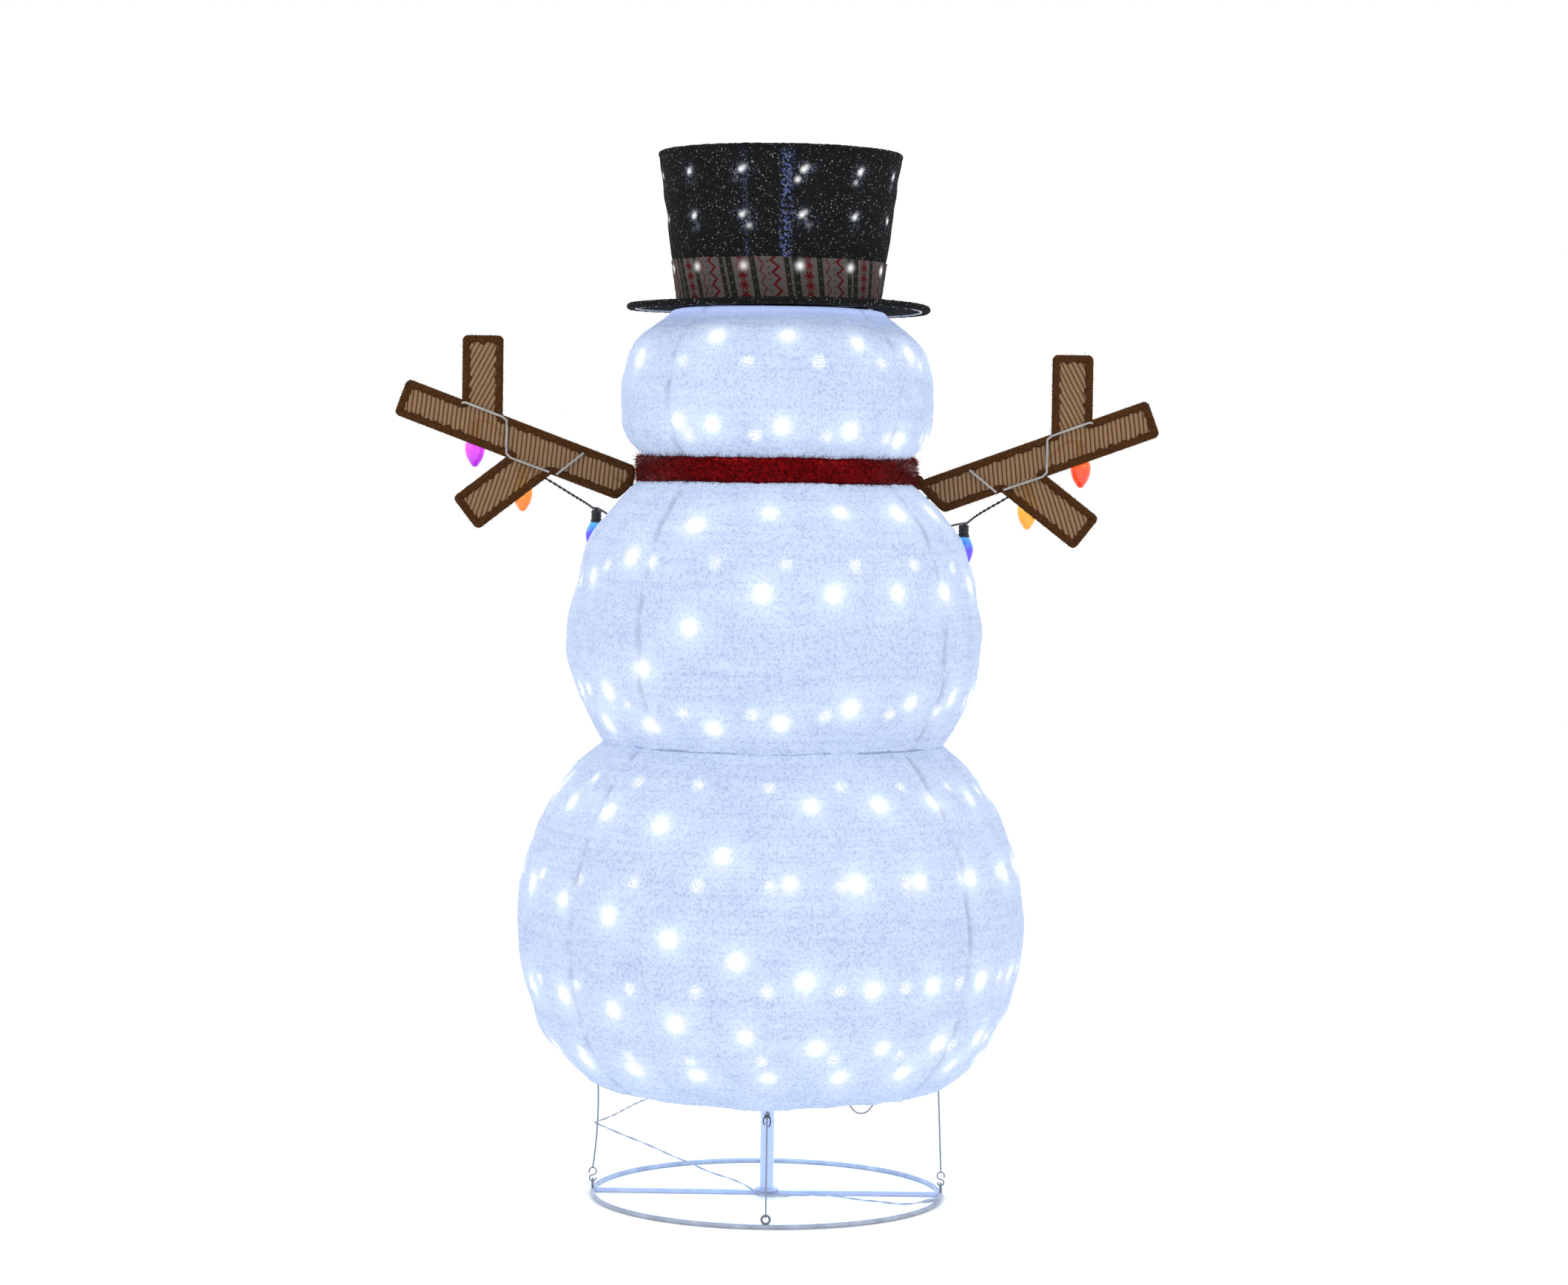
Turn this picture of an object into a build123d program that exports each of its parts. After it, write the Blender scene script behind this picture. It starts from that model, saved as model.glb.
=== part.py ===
from build123d import *
import math
import os

# Light-up snowman on a wire stand: three plush balls over spring-wire hoops, hung on a telescopic mast.
# Millimetres. Origin on the ground under the mast, +Z up. The open back of the hat seam faces -Y,
# and the face, buttons and bulb swag face +Y. A bearing is measured from -Y towards +X, in degrees.

# ---- stand ----
RING_RADIUS = 256.0
RING_WIRE = 7.0
RING_FLAT = 0.25
RING_AXIS_Z = RING_WIRE / 2 - RING_FLAT
FLANGE_RADIUS = 17.0
FLANGE_TOP = 9.5
SPIGOT_LENGTH = 5.0
EYE_RADIUS = 5.8
EYE_WIRE = 3.6
EYE_HEIGHT = 13.5
HOOK_WIRE = 2.0
HOOK_LOWER_RADIUS = 4.7
HOOK_UPPER_RADIUS = 5.4
CORD_WIDTH = 3.4

# ---- mast ----
MAST_OUTER = (20.0, 16.0, 12.0)
MAST_SPANS = ((FLANGE_TOP, 440.0), (405.0, 870.0), (835.0, 1286.0))
MAST_PLAY = 0.1
COLLAR_LENGTH = 34.0
COLLAR_RADIUS = 13.0

# ---- cover ----
CLOTH = 5.0
HOOP_WIRE = 3.0
HEM_RADIUS = 250.0
HEM_Z, WAIST_Z, NECK_Z, BROW_Z = 170.0, 666.0, 1046.0, 1289.0
LOWER_OUTLINE = [
    (258, HEM_Z), (299, 203), (337, 255), (363, 333), (371, 410), (360, 488), (331, 566), (288, 627), (248, WAIST_Z),
]
MIDDLE_OUTLINE = [
    (248, WAIST_Z + 0.6), (273, 709), (295, 761), (302, 828), (293.5, 885), (280, 943), (262, 979), (243, 1002),
    (221, 1025), (200, NECK_Z),
]
HEAD_OUTLINE = [
    (192.5, NECK_Z + 0.6), (193.5, 1078), (217, 1109), (228, 1160), (222, 1214), (202, 1254), (158, BROW_Z),
]
LOWER_SEAMS = (-49.5, 49.5, 130.5, 229.5)
MIDDLE_SEAMS = (-39.4, 54.5, 140.6, 234.5)
HEAD_SEAMS = (-42.7, 50.7, 137.3, 230.7)
SEAM_GAP = 0.1
GUIDE_RADIUS = 18.0
NECK_HOOP_RADIUS = 181.0

# ---- lights ----
LED_PITCH = 99.0
LED_RADIUS = 2.5
LED_LENGTH = 10.0
LED_INSET = 15.0
LED_WIRE = 1.6
LED_GAP = 2.0
HAT_LED_START = 11.0

# ---- arms ----
ARM_ROOT, ARM_TIP = 206.0, 549.0
ARM_ANGLE = 20.25
ARM_WIDTH = 55.0
TWIG_WIDTH = 59.0
UPPER_TWIG_AT, UPPER_TWIG_RISE = 430.0, 134.0
LOWER_TWIG_AT, LOWER_TWIG_LENGTH, LOWER_TWIG_ANGLE = 336.0, 149.0, 37.75
ARM_THICK = 4.0
ARM_BAR = 4.0
BRACE_BAR, BRACE_SINK = 3.5, 0.5
PRONG_WIRE = 5.0
PRONG_Y = 4.0
ARM_HEIGHTS = {"left": 1037.8, "right": 1020.8}
ARM_SIDES = {"left": -1, "right": 1}
SOCKET_POST_X = 180.0

# ---- bulbs ----
WIRE_WIDTH = 4.0
SOCKET_RADIUS = 7.75
SOCKET_LENGTH = 17.0
BULB_RADIUS = 15.0
BULB_LENGTH = 48.0

# ---- hat ----
BRIM_RADIUS, BRIM_BOTTOM, BRIM_TOP = 221.0, 1295.5, 1305.5
HAT_BASE_RADIUS, HAT_TOP_RADIUS, HAT_TOP = 147.0, 177.5, 1524.0
HAT_CLOTH = 3.0
BAND_HEIGHT = 62.0
STRUT_WIRE = 2.4

os.makedirs("parts", exist_ok=True)


def save(part, name):
    part.label = name
    export_step(part, f"parts/{name}.step")


def around(bearing, radius, z):
    """The point at a bearing and a distance from the mast."""
    turn = math.radians(bearing)
    return Vector(radius * math.sin(turn), -radius * math.cos(turn), z)


def outward(bearing, radius, z):
    """A plane on that point that faces away from the mast."""
    point = around(bearing, radius, z)
    return Plane(origin=point, x_dir=(0, 0, 1), z_dir=(point.X, point.Y, 0))


def meridian(bearing):
    """The upright half plane through the mast at a bearing, with radius along x and height along y."""
    turn = math.radians(bearing)
    return Plane(
        origin=(0, 0, 0),
        x_dir=(math.sin(turn), -math.cos(turn), 0),
        z_dir=(-math.cos(turn), -math.sin(turn), 0),
    )


def radius_at(outline, z):
    """The radius of a cover's outline curve at a height, found by halving the span that holds it."""
    curve = Spline(*outline, mode=Mode.PRIVATE)
    low, high = 0.0, 1.0
    for _ in range(20):
        middle = (low + high) / 2
        if (curve @ middle).Y < z:
            low = middle
        else:
            high = middle
    return (curve @ high).X


# ---- stand: ring, bar, flange, eyes and S-hooks ----
with BuildPart() as base_ring:
    with Locations((0, 0, RING_AXIS_Z)):
        Torus(RING_RADIUS, RING_WIRE / 2)
    Cylinder(
        RING_RADIUS + RING_WIRE,
        RING_WIRE,
        align=(Align.CENTER, Align.CENTER, Align.MAX),
        mode=Mode.SUBTRACT,
    )
save(base_ring.part, "base_ring")

with BuildPart() as cross_bar:
    with Locations((0, 0, RING_WIRE / 2)):
        Cylinder(RING_WIRE / 2, 2 * RING_RADIUS - RING_WIRE - 0.2, rotation=(0, 90, 0))
save(cross_bar.part, "cross_bar")

with BuildPart() as pole_socket:
    with Locations((0, 0, RING_WIRE)):
        Cylinder(FLANGE_RADIUS, FLANGE_TOP - RING_WIRE, align=(Align.CENTER, Align.CENTER, Align.MIN))
    with Locations((0, 0, FLANGE_TOP)):
        Cylinder(7.9, SPIGOT_LENGTH, align=(Align.CENTER, Align.CENTER, Align.MIN))
        Cylinder(6.0, SPIGOT_LENGTH, align=(Align.CENTER, Align.CENTER, Align.MIN), mode=Mode.SUBTRACT)
save(pole_socket.part, "pole_socket")

with BuildPart() as ring_eyes:
    for bearing in (0, 90, 180, 270):
        with Locations(outward(bearing, RING_RADIUS, EYE_HEIGHT)):
            Torus(EYE_RADIUS, EYE_WIRE / 2)
    with Locations((0, 0, RING_AXIS_Z)):
        Torus(RING_RADIUS, RING_WIRE / 2, mode=Mode.SUBTRACT)
save(ring_eyes.part, "ring_eyes")

hook_low = EYE_HEIGHT + EYE_RADIUS - EYE_WIRE / 2 - 0.3 - HOOK_WIRE / 2 + HOOK_LOWER_RADIUS
hook_high = hook_low + HOOK_LOWER_RADIUS + HOOK_UPPER_RADIUS
hook_top = hook_high + HOOK_UPPER_RADIUS
with BuildPart() as s_hooks:
    for bearing in (0, 90, 180, 270):
        with BuildLine(meridian(bearing)) as bend:
            CenterArc((RING_RADIUS, hook_low), HOOK_LOWER_RADIUS, 170, 280)
            CenterArc((RING_RADIUS, hook_high), HOOK_UPPER_RADIUS, 270, -300)
        with BuildSketch(Plane(origin=bend.line @ 0, z_dir=bend.line % 0)):
            Circle(HOOK_WIRE / 2)
        sweep(path=bend.line)
save(s_hooks.part, "s_hooks")


# ---- mast: three tubes and two twist-lock collars ----
def mast_tube(outer, bore, low, high):
    with BuildPart() as tube:
        with Locations((0, 0, low)):
            Cylinder(outer / 2, high - low, align=(Align.CENTER, Align.CENTER, Align.MIN))
            Cylinder(bore / 2, high - low, align=(Align.CENTER, Align.CENTER, Align.MIN), mode=Mode.SUBTRACT)
    return tube.part


def mast_collar(outer, inner, joint_z):
    """A grip that wraps the mouth of one tube and closes on the next tube inside it."""
    with BuildPart() as collar:
        with Locations((0, 0, joint_z - 18)):
            Cylinder(COLLAR_RADIUS, COLLAR_LENGTH, align=(Align.CENTER, Align.CENTER, Align.MIN))
        chamfer(collar.edges().filter_by(GeomType.CIRCLE), 1.2)
        with PolarLocations(COLLAR_RADIUS + 0.9, 10):
            with Locations((0, 0, joint_z - 1)):
                Cylinder(1.8, 24, mode=Mode.SUBTRACT)
        with Locations((0, 0, joint_z + 0.3)):
            Cylinder(outer / 2 + MAST_PLAY, 40, align=(Align.CENTER, Align.CENTER, Align.MAX), mode=Mode.SUBTRACT)
            Cylinder(inner / 2 + MAST_PLAY, 40, align=(Align.CENTER, Align.CENTER, Align.MIN), mode=Mode.SUBTRACT)
    return collar.part


for name, outer, bore, (low, high) in zip(
    ("lower_tube", "mid_tube", "upper_tube"),
    MAST_OUTER,
    (MAST_OUTER[1] + 2 * MAST_PLAY, MAST_OUTER[2] + 2 * MAST_PLAY, 9.0),
    MAST_SPANS,
):
    save(mast_tube(outer, bore, low, high), name)
save(mast_collar(MAST_OUTER[0], MAST_OUTER[1], MAST_SPANS[0][1]), "lower_collar")
save(mast_collar(MAST_OUTER[1], MAST_OUTER[2], MAST_SPANS[1][1]), "upper_collar")


# ---- covers, hoops and light strings ----
def prong_plane(side):
    """The plane across an arm's prong at its root, facing out along the arm."""
    turn = math.radians(ARM_ANGLE)
    way = ARM_SIDES[side]
    return Plane(
        origin=(way * ARM_ROOT, PRONG_Y, ARM_HEIGHTS[side]),
        x_dir=(0, 1, 0),
        z_dir=(way * math.cos(turn), 0, math.sin(turn)),
    )


def plush_cover(outline, seams, slits=()):
    """A cloth tube of revolution in gores that meet at the seam bearings, with round slits for the arm prongs."""
    inner = [(radius - CLOTH, z) for radius, z in outline]
    with BuildPart() as cover:
        for start, stop in zip(seams, (*seams[1:], seams[0] + 360)):
            with BuildSketch(meridian(start)):
                with BuildLine():
                    Spline(*outline)
                    Line(outline[-1], inner[-1])
                    Spline(*inner[::-1])
                    Line(inner[0], outline[0])
                make_face()
            revolve(axis=Axis.Z, revolution_arc=stop - start - SEAM_GAP)
        for side in slits:
            with Locations(prong_plane(side)):
                Cylinder(PRONG_WIRE / 2 + 2.5, 120, mode=Mode.SUBTRACT)
    return cover.part


def hoops(outline, levels):
    """Spring-wire hoops that lie against the inside of a cover."""
    with BuildPart() as rings:
        for z in levels:
            with Locations((0, 0, z)):
                Torus(radius_at(outline, z) - CLOTH - HOOP_WIRE / 2 - 1.5, HOOP_WIRE / 2)
    return rings.part


def spider(hoop_radius, z, guide_radius, spokes):
    """A hoop with spokes to a small ring that slides down the mast."""
    with BuildPart() as frame:
        with Locations((0, 0, z)):
            Torus(hoop_radius, HOOP_WIRE / 2)
            Torus(guide_radius, HOOP_WIRE / 2)
        for bearing in spokes:
            middle = (hoop_radius + guide_radius) / 2
            with Locations(outward(bearing, middle, z)):
                Cylinder(HOOP_WIRE / 2, hoop_radius - guide_radius)
    return frame.part


def wound_string(outline, course):
    """The places of the lamps of a string that winds round a ball: course gives (bearing, height) along it."""
    lamps = []
    bearing = course[0][0]
    while bearing <= course[-1][0]:
        for (b0, z0), (b1, z1) in zip(course, course[1:]):
            if b0 <= bearing <= b1:
                climb = (z1 - z0) / math.radians(b1 - b0)
                z = z0 + climb * math.radians(bearing - b0)
        radius = radius_at(outline, z) - CLOTH - LED_INSET
        lamps.append((bearing, radius, z))
        bearing += math.degrees(LED_PITCH / math.hypot(radius + LED_INSET, climb))
    return lamps


def light_string(lamps):
    """Lamps that point outwards, and the straight spans of wire that join them in order."""
    centres = [around(*lamp) for lamp in lamps]
    with BuildPart() as string:
        with Locations(*[outward(*lamp) for lamp in lamps]):
            Cylinder(LED_RADIUS, LED_LENGTH)
        for here, there in zip(centres, centres[1:]):
            span = there - here
            with Locations(Plane(origin=(here + there) / 2, z_dir=span)):
                Cylinder(LED_WIRE / 2, span.length - 2 * LED_RADIUS - LED_GAP)
    return string.part


save(plush_cover(LOWER_OUTLINE, LOWER_SEAMS), "lower_cover")
save(plush_cover(MIDDLE_OUTLINE, MIDDLE_SEAMS, ARM_SIDES), "middle_cover")
save(plush_cover(HEAD_OUTLINE, HEAD_SEAMS), "head_cover")
save(hoops(LOWER_OUTLINE, range(240, 640, 62)), "lower_hoops")
save(hoops(MIDDLE_OUTLINE, range(728, 1000, 62)), "middle_hoops")
save(hoops(HEAD_OUTLINE, range(1108, 1260, 48)), "head_hoops")

with BuildPart() as hem_hoop:
    with Locations((0, 0, HEM_Z + 4)):
        Torus(HEM_RADIUS, HOOP_WIRE / 2)
save(hem_hoop.part, "hem_hoop")
save(spider(240.5, WAIST_Z + 0.3, GUIDE_RADIUS, (45, 135, 225, 315)), "waist_hoop")
save(spider(NECK_HOOP_RADIUS, NECK_Z + 5, GUIDE_RADIUS, (45, 135, 225, 315)), "neck_hoop")

LOWER_COURSE = [
    (10.3, 600), (100, 600), (130, 622), (250, 620), (290, 590), (330, 575), (365, 497), (540, 490), (640, 478),
    (685, 441), (735, 350), (900, 345), (1030, 320), (1050, 305), (1095, 265), (1260, 245), (1390, 222), (1530, 222),
]
MIDDLE_COURSE = [
    (70.5, 1006), (0, 1004), (-23, 993), (-41, 950), (-58, 911), (-110, 897), (-128, 929), (-235, 929), (-298, 895),
    (-352, 892), (-367.5, 893), (-382.5, 846), (-397, 788), (-408, 749), (-425, 744), (-480, 744), (-500, 720),
    (-600, 720), (-640, 742), (-658, 742), (-690, 737), (-706.5, 729), (-724, 702), (-800, 700),
]
HEAD_COURSE = [
    (-24.6, 1250), (3, 1252), (33, 1243), (62, 1230), (100, 1212), (260, 1212), (305, 1226), (322.4, 1127),
    (372, 1124), (395, 1117), (415, 1108), (600, 1108),
]
middle_lamps = [(-bearing, radius, z) for bearing, radius, z in wound_string(
    MIDDLE_OUTLINE, [(-bearing, z) for bearing, z in MIDDLE_COURSE])]
save(light_string(wound_string(LOWER_OUTLINE, LOWER_COURSE)), "lower_lights")
save(light_string(middle_lamps), "middle_lights")
save(light_string(wound_string(HEAD_OUTLINE, HEAD_COURSE)), "head_lights")

# ---- crown of the frame, under the hat ----
save(spider(150.0, BROW_Z - 4, 7.6, (0, 90, 180, 270)), "crown_spider")

with BuildPart() as crown_plug:
    with Locations((0, 0, MAST_SPANS[2][1] + 0.8)):
        Cylinder(11.0, 5.5, align=(Align.CENTER, Align.CENTER, Align.MIN))
        Cylinder(4.4, 20.0, align=(Align.CENTER, Align.CENTER, Align.MAX))
    chamfer(crown_plug.edges().group_by(Axis.Z)[-1], 1.5)
save(crown_plug.part, "crown_plug")

with BuildPart() as head_cap:
    with Locations((0, 0, BROW_Z)):
        Cylinder(151.0, 2.2, align=(Align.CENTER, Align.CENTER, Align.MAX))
        Cylinder(11.5, 2.2, align=(Align.CENTER, Align.CENTER, Align.MAX), mode=Mode.SUBTRACT)
save(head_cap.part, "head_cap")


# ---- neck: arm sockets, scarf, face and buttons ----
with BuildPart() as arm_sockets:
    for side in ARM_SIDES:
        with Locations(prong_plane(side)):
            with Locations((0, 0, -12)):
                Cylinder(4.5, 60, align=(Align.CENTER, Align.CENTER, Align.MAX))
                Cylinder(
                    PRONG_WIRE / 2 + 0.1, 60, align=(Align.CENTER, Align.CENTER, Align.MAX), mode=Mode.SUBTRACT
                )
        post_x = ARM_SIDES[side] * SOCKET_POST_X
        post_low = ARM_HEIGHTS[side] - (ARM_ROOT - SOCKET_POST_X) * math.tan(math.radians(ARM_ANGLE)) + 4.2
        with Locations((post_x, PRONG_Y, post_low)):
            Cylinder(2.0, NECK_Z + 3.4 - post_low, align=(Align.CENTER, Align.CENTER, Align.MIN))
save(arm_sockets.part, "arm_sockets")

with BuildPart() as scarf:
    with BuildSketch(Plane.XZ):
        with Locations((199.5, NECK_Z + 17.5)):
            RectangleRounded(7.0, 33.0, 2.5)
    revolve(axis=Axis.Z)
save(scarf.part, "scarf")

with BuildPart() as scarf_knot:
    with Locations((0, 220.5, NECK_Z + 17)):
        Box(46, 32, 38)
    fillet(scarf_knot.edges(), 11)
    with Locations((0, 0, NECK_Z)):
        Cylinder(203.7, 120, mode=Mode.SUBTRACT)
save(scarf_knot.part, "scarf_knot")

TAIL_OFFSET, TAIL_THICK, TAIL_WIDTH = 5.0, 6.0, 38.0
TAIL_LEVELS = {24: (1040, 1018, 985, 940, 895, 862), -24: (1040, 1018, 985, 940, 910, 890)}
with BuildPart() as scarf_tails:
    for middle_x, levels in TAIL_LEVELS.items():
        near = [(radius_at(MIDDLE_OUTLINE, z) + TAIL_OFFSET, z) for z in levels]
        far = [(radius + TAIL_THICK, z + 2) for radius, z in near]
        with BuildSketch(Plane(origin=(middle_x, 0, 0), x_dir=(0, 1, 0), z_dir=(1, 0, 0))):
            with BuildLine():
                Polyline(*near, *far[::-1], close=True)
            make_face()
        extrude(amount=TAIL_WIDTH / 2, both=True)
save(scarf_tails.part, "scarf_tails")


def coals(outline, places, radius, height):
    """Domed discs that lie on a cover, at (bearing, height) places."""
    with BuildPart() as lumps:
        for bearing, z in places:
            stand = max(radius_at(outline, z + dz) for dz in (-radius, 0, radius))
            with Locations(outward(bearing, stand + 0.4, z)):
                Cylinder(radius, height, align=(Align.CENTER, Align.CENTER, Align.MIN))
        outer = lumps.faces().filter_by(GeomType.PLANE).sort_by(lambda f: math.hypot(f.center().X, f.center().Y))
        fillet(outer[len(places):].edges(), 0.45 * height)
    return lumps.part


save(coals(HEAD_OUTLINE, [(156, 1196), (204, 1196)], 17.0, 12.0), "coal_eyes")
save(
    coals(HEAD_OUTLINE, [(180 + a, 1106 + 0.045 * a * a) for a in (-22, -11, 0, 11, 22)], 8.0, 8.0),
    "coal_mouth",
)
save(coals(MIDDLE_OUTLINE, [(180, 838), (180, 752)], 19.0, 12.0), "coat_buttons")

with BuildPart() as carrot_nose:
    with Locations(outward(180, radius_at(HEAD_OUTLINE, 1156) + 1.6, 1156)):
        Cone(17.0, 3.5, 105.0, align=(Align.CENTER, Align.CENTER, Align.MIN))
    fillet(carrot_nose.faces().sort_by(Axis.Y)[-1].edges(), 3.0)
save(carrot_nose.part, "carrot_nose")


# ---- arms: flat forked panels in a welded wire frame ----
def arm_height(side, x):
    """The height of the middle of an arm's bar, x from the mast."""
    return ARM_HEIGHTS[side] + (x - ARM_ROOT) * math.tan(math.radians(ARM_ANGLE))


def arm_face(side, inset=0.0):
    """The outline of an arm on its +X side, drawn in by inset: a bar and two twigs, cut clear of the shoulder."""
    turn = math.radians(ARM_ANGLE)
    shoulder = [(radius_at(MIDDLE_OUTLINE, z) + 4 + inset, z) for z in (985, 1000, 1015, 1030, 1040)]
    edge = ARM_ROOT + inset
    with BuildSketch() as face:
        with Locations((ARM_TIP - inset * math.cos(turn), arm_height(side, ARM_TIP) - inset * math.sin(turn))):
            Rectangle(
                (ARM_TIP - ARM_ROOT + 14) / math.cos(turn) - inset,
                ARM_WIDTH - 2 * inset,
                rotation=ARM_ANGLE,
                align=(Align.MAX, Align.CENTER),
            )
        with Locations((UPPER_TWIG_AT, arm_height(side, UPPER_TWIG_AT))):
            Rectangle(TWIG_WIDTH - 2 * inset, UPPER_TWIG_RISE - inset, align=(Align.CENTER, Align.MIN))
        with Locations((LOWER_TWIG_AT, arm_height(side, LOWER_TWIG_AT))):
            Rectangle(
                LOWER_TWIG_LENGTH - inset,
                TWIG_WIDTH - 2 * inset,
                rotation=-LOWER_TWIG_ANGLE,
                align=(Align.MIN, Align.CENTER),
            )
        with BuildLine():
            Polyline((100, 985), *shoulder, (edge, 1054), (edge, 1110), (100, 1110), close=True)
        make_face(mode=Mode.SUBTRACT)
    return face.sketch


def arm_frame(side):
    """The wire frame on the +X side: the outline bar, the braces on its -Y face, and the prong."""
    braces = [(459, 26), (401, 26), (397, -26), (331, -26), (284, 25.5)]
    corners = [Vector(x, arm_height(side, x) + rise) for x, rise in braces]
    outside, inside = arm_face(side), arm_face(side, ARM_BAR)
    with BuildPart() as frame:
        with BuildSketch(Plane.XZ):
            add(outside)
            add(inside, mode=Mode.SUBTRACT)
        extrude(amount=ARM_THICK / 2, both=True)
        with BuildSketch(Plane.XZ.offset(ARM_THICK / 2 - BRACE_SINK)):
            for here, there in zip(corners, corners[1:]):
                span = there - here
                with Locations((here + there) / 2):
                    Rectangle(
                        span.length + BRACE_BAR / 2,
                        BRACE_BAR,
                        rotation=math.degrees(math.atan2(span.Y, span.X)),
                    )
        extrude(amount=BRACE_BAR)
        root = prong_plane("right")
        with Locations(Plane(origin=(ARM_ROOT, PRONG_Y, ARM_HEIGHTS[side]), x_dir=root.x_dir, z_dir=root.z_dir)):
            with Locations((0, 0, 34)):
                Cylinder(PRONG_WIRE / 2, 98, align=(Align.CENTER, Align.CENTER, Align.MAX))
    return frame.part


def arm_mesh(side):
    field = arm_face(side, ARM_BAR + 0.1)
    with BuildPart() as panel:
        with BuildSketch(Plane.XZ):
            add(field)
        extrude(amount=0.6, both=True)
    return panel.part


for side in ARM_SIDES:
    for make, name in ((arm_frame, "frame"), (arm_mesh, "mesh")):
        made = make(side)
        save(made if side == "right" else made.mirror(Plane.YZ), f"{side}_arm_{name}")

# ---- bulbs: (x, y, height of the socket's top) ----
BULB_PLACES = {
    "left_arm": [(-441.6, 19, 1127.7), (-372.5, 19, 1063.8)],
    "right_arm": [(445, 19, 1109.2), (369, 19, 1047.2)],
    "swag": [
        (-269, 135, 1000.8), (-194, 243.5, 964.5), (-64, 305, 940.5), (81, 302, 939.5), (209, 230, 961.5), (280, 113, 986.5),
    ],
}
BULB_OUTLINE = [(8.0, 0), (11.5, -6), (BULB_RADIUS, -20), (11.0, -36), (5.0, -45.5), (0, -BULB_LENGTH)]
for group, places in BULB_PLACES.items():
    with BuildPart() as sockets:
        with Locations(*places):
            Cylinder(SOCKET_RADIUS, SOCKET_LENGTH, align=(Align.CENTER, Align.CENTER, Align.MAX))
    save(sockets.part, f"{group}_sockets")
    with BuildPart() as bulbs:
        for x, y, z in places:
            with BuildSketch(Plane(origin=(x, y, z - SOCKET_LENGTH), x_dir=(1, 0, 0), z_dir=(0, -1, 0))):
                with BuildLine():
                    Spline(*BULB_OUTLINE)
                    Polyline(BULB_OUTLINE[-1], (0, 0), BULB_OUTLINE[0])
                make_face()
            revolve(axis=Axis((x, y, 0), (0, 0, 1)))
    save(bulbs.part, f"{group}_bulbs")


# ---- hat ----
def hat_radius(z):
    return HAT_BASE_RADIUS + (HAT_TOP_RADIUS - HAT_BASE_RADIUS) * (z - BRIM_TOP) / (HAT_TOP - BRIM_TOP)


def hat_ring(inner, outer, low, high):
    """A ring of the hat's slope: its walls stand off the crown by inner and outer."""
    with BuildPart() as ring:
        with BuildSketch(Plane.XZ):
            with BuildLine():
                Polyline(
                    (hat_radius(low) + inner, low),
                    (hat_radius(low) + outer, low),
                    (hat_radius(high) + outer, high),
                    (hat_radius(high) + inner, high),
                    close=True,
                )
            make_face()
        revolve(axis=Axis.Z)
    return ring.part


BRIM_AXIS_Z = (BRIM_BOTTOM + BRIM_TOP) / 2
with BuildPart() as hat_brim:
    with BuildSketch(Plane.XZ):
        with Locations((BRIM_RADIUS - 5, BRIM_AXIS_Z)):
            Circle(5)
            Rectangle(BRIM_RADIUS - 5 - 141, 4, align=(Align.MAX, Align.CENTER))
    revolve(axis=Axis.Z)
save(hat_brim.part, "hat_brim")
save(hat_ring(-HAT_CLOTH, 0, BRIM_AXIS_Z + 2.3, HAT_TOP - 5), "hat_crown")
save(hat_ring(0.3, 2.3, BRIM_AXIS_Z + 3, BRIM_AXIS_Z + 3 + BAND_HEIGHT), "hat_band")

with BuildPart() as hat_top:
    with Locations((0, 0, HAT_TOP)):
        Cylinder(HAT_TOP_RADIUS, 4.7, align=(Align.CENTER, Align.CENTER, Align.MAX))
    fillet(hat_top.edges().group_by(Axis.Z)[-1], 3.5)
save(hat_top.part, "hat_top")

with BuildPart() as hat_frame:
    low, high = BRIM_AXIS_Z + 8, HAT_TOP - 10
    for z in (low, 1360, 1412, 1464, high):
        with Locations((0, 0, z)):
            Torus(hat_radius(z) - HAT_CLOTH - 2.2, HOOP_WIRE / 2)
    for bearing in (10, 100, 190, 280):
        foot = around(bearing, hat_radius(low) - HAT_CLOTH - 2.2, low)
        head = around(bearing, hat_radius(high) - HAT_CLOTH - 2.2, high)
        with Locations(Plane(origin=(foot + head) / 2, z_dir=head - foot)):
            Cylinder(STRUT_WIRE / 2, (head - foot).length)
save(hat_frame.part, "hat_frame")

with BuildPart() as hat_lights:
    for z in (1353, 1424, 1487):
        places = [(HAT_LED_START + 30 * step, hat_radius(z) - HAT_CLOTH - 12, z) for step in range(12)]
        with Locations(*[outward(*place) for place in places]):
            Cylinder(LED_RADIUS, LED_LENGTH)
save(hat_lights.part, "hat_lights")


# ---- cords ----
def cord_tube(name, route, width, tight=None):
    """A round cord along straight runs joined by tangent arcs, each as large as its runs allow."""
    points = [Vector(*point) for point in route]
    radii = []
    for before, corner, after in zip(points, points[1:], points[2:]):
        come, go = corner - before, after - corner
        turn = math.radians(come.get_angle(go))
        radii.append(tight or 0.45 * min(come.length, go.length) / math.tan(turn / 2))
    with BuildPart() as tube:
        with BuildLine() as path:
            if radii:
                FilletPolyline(*points, radius=radii)
            else:
                Line(*points)
        with BuildSketch(Plane(origin=path.line @ 0, z_dir=path.line % 0)):
            Circle(width / 2)
        sweep(path=path.line)
    length = sum(edge.length for edge in path.edges())
    filled = tube.part.volume / (length * math.pi * width**2 / 4)
    print(name, "length", round(length, 1), "radii", [round(r) for r in radii], "fill", round(filled, 4))
    save(tube.part, name)


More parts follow.
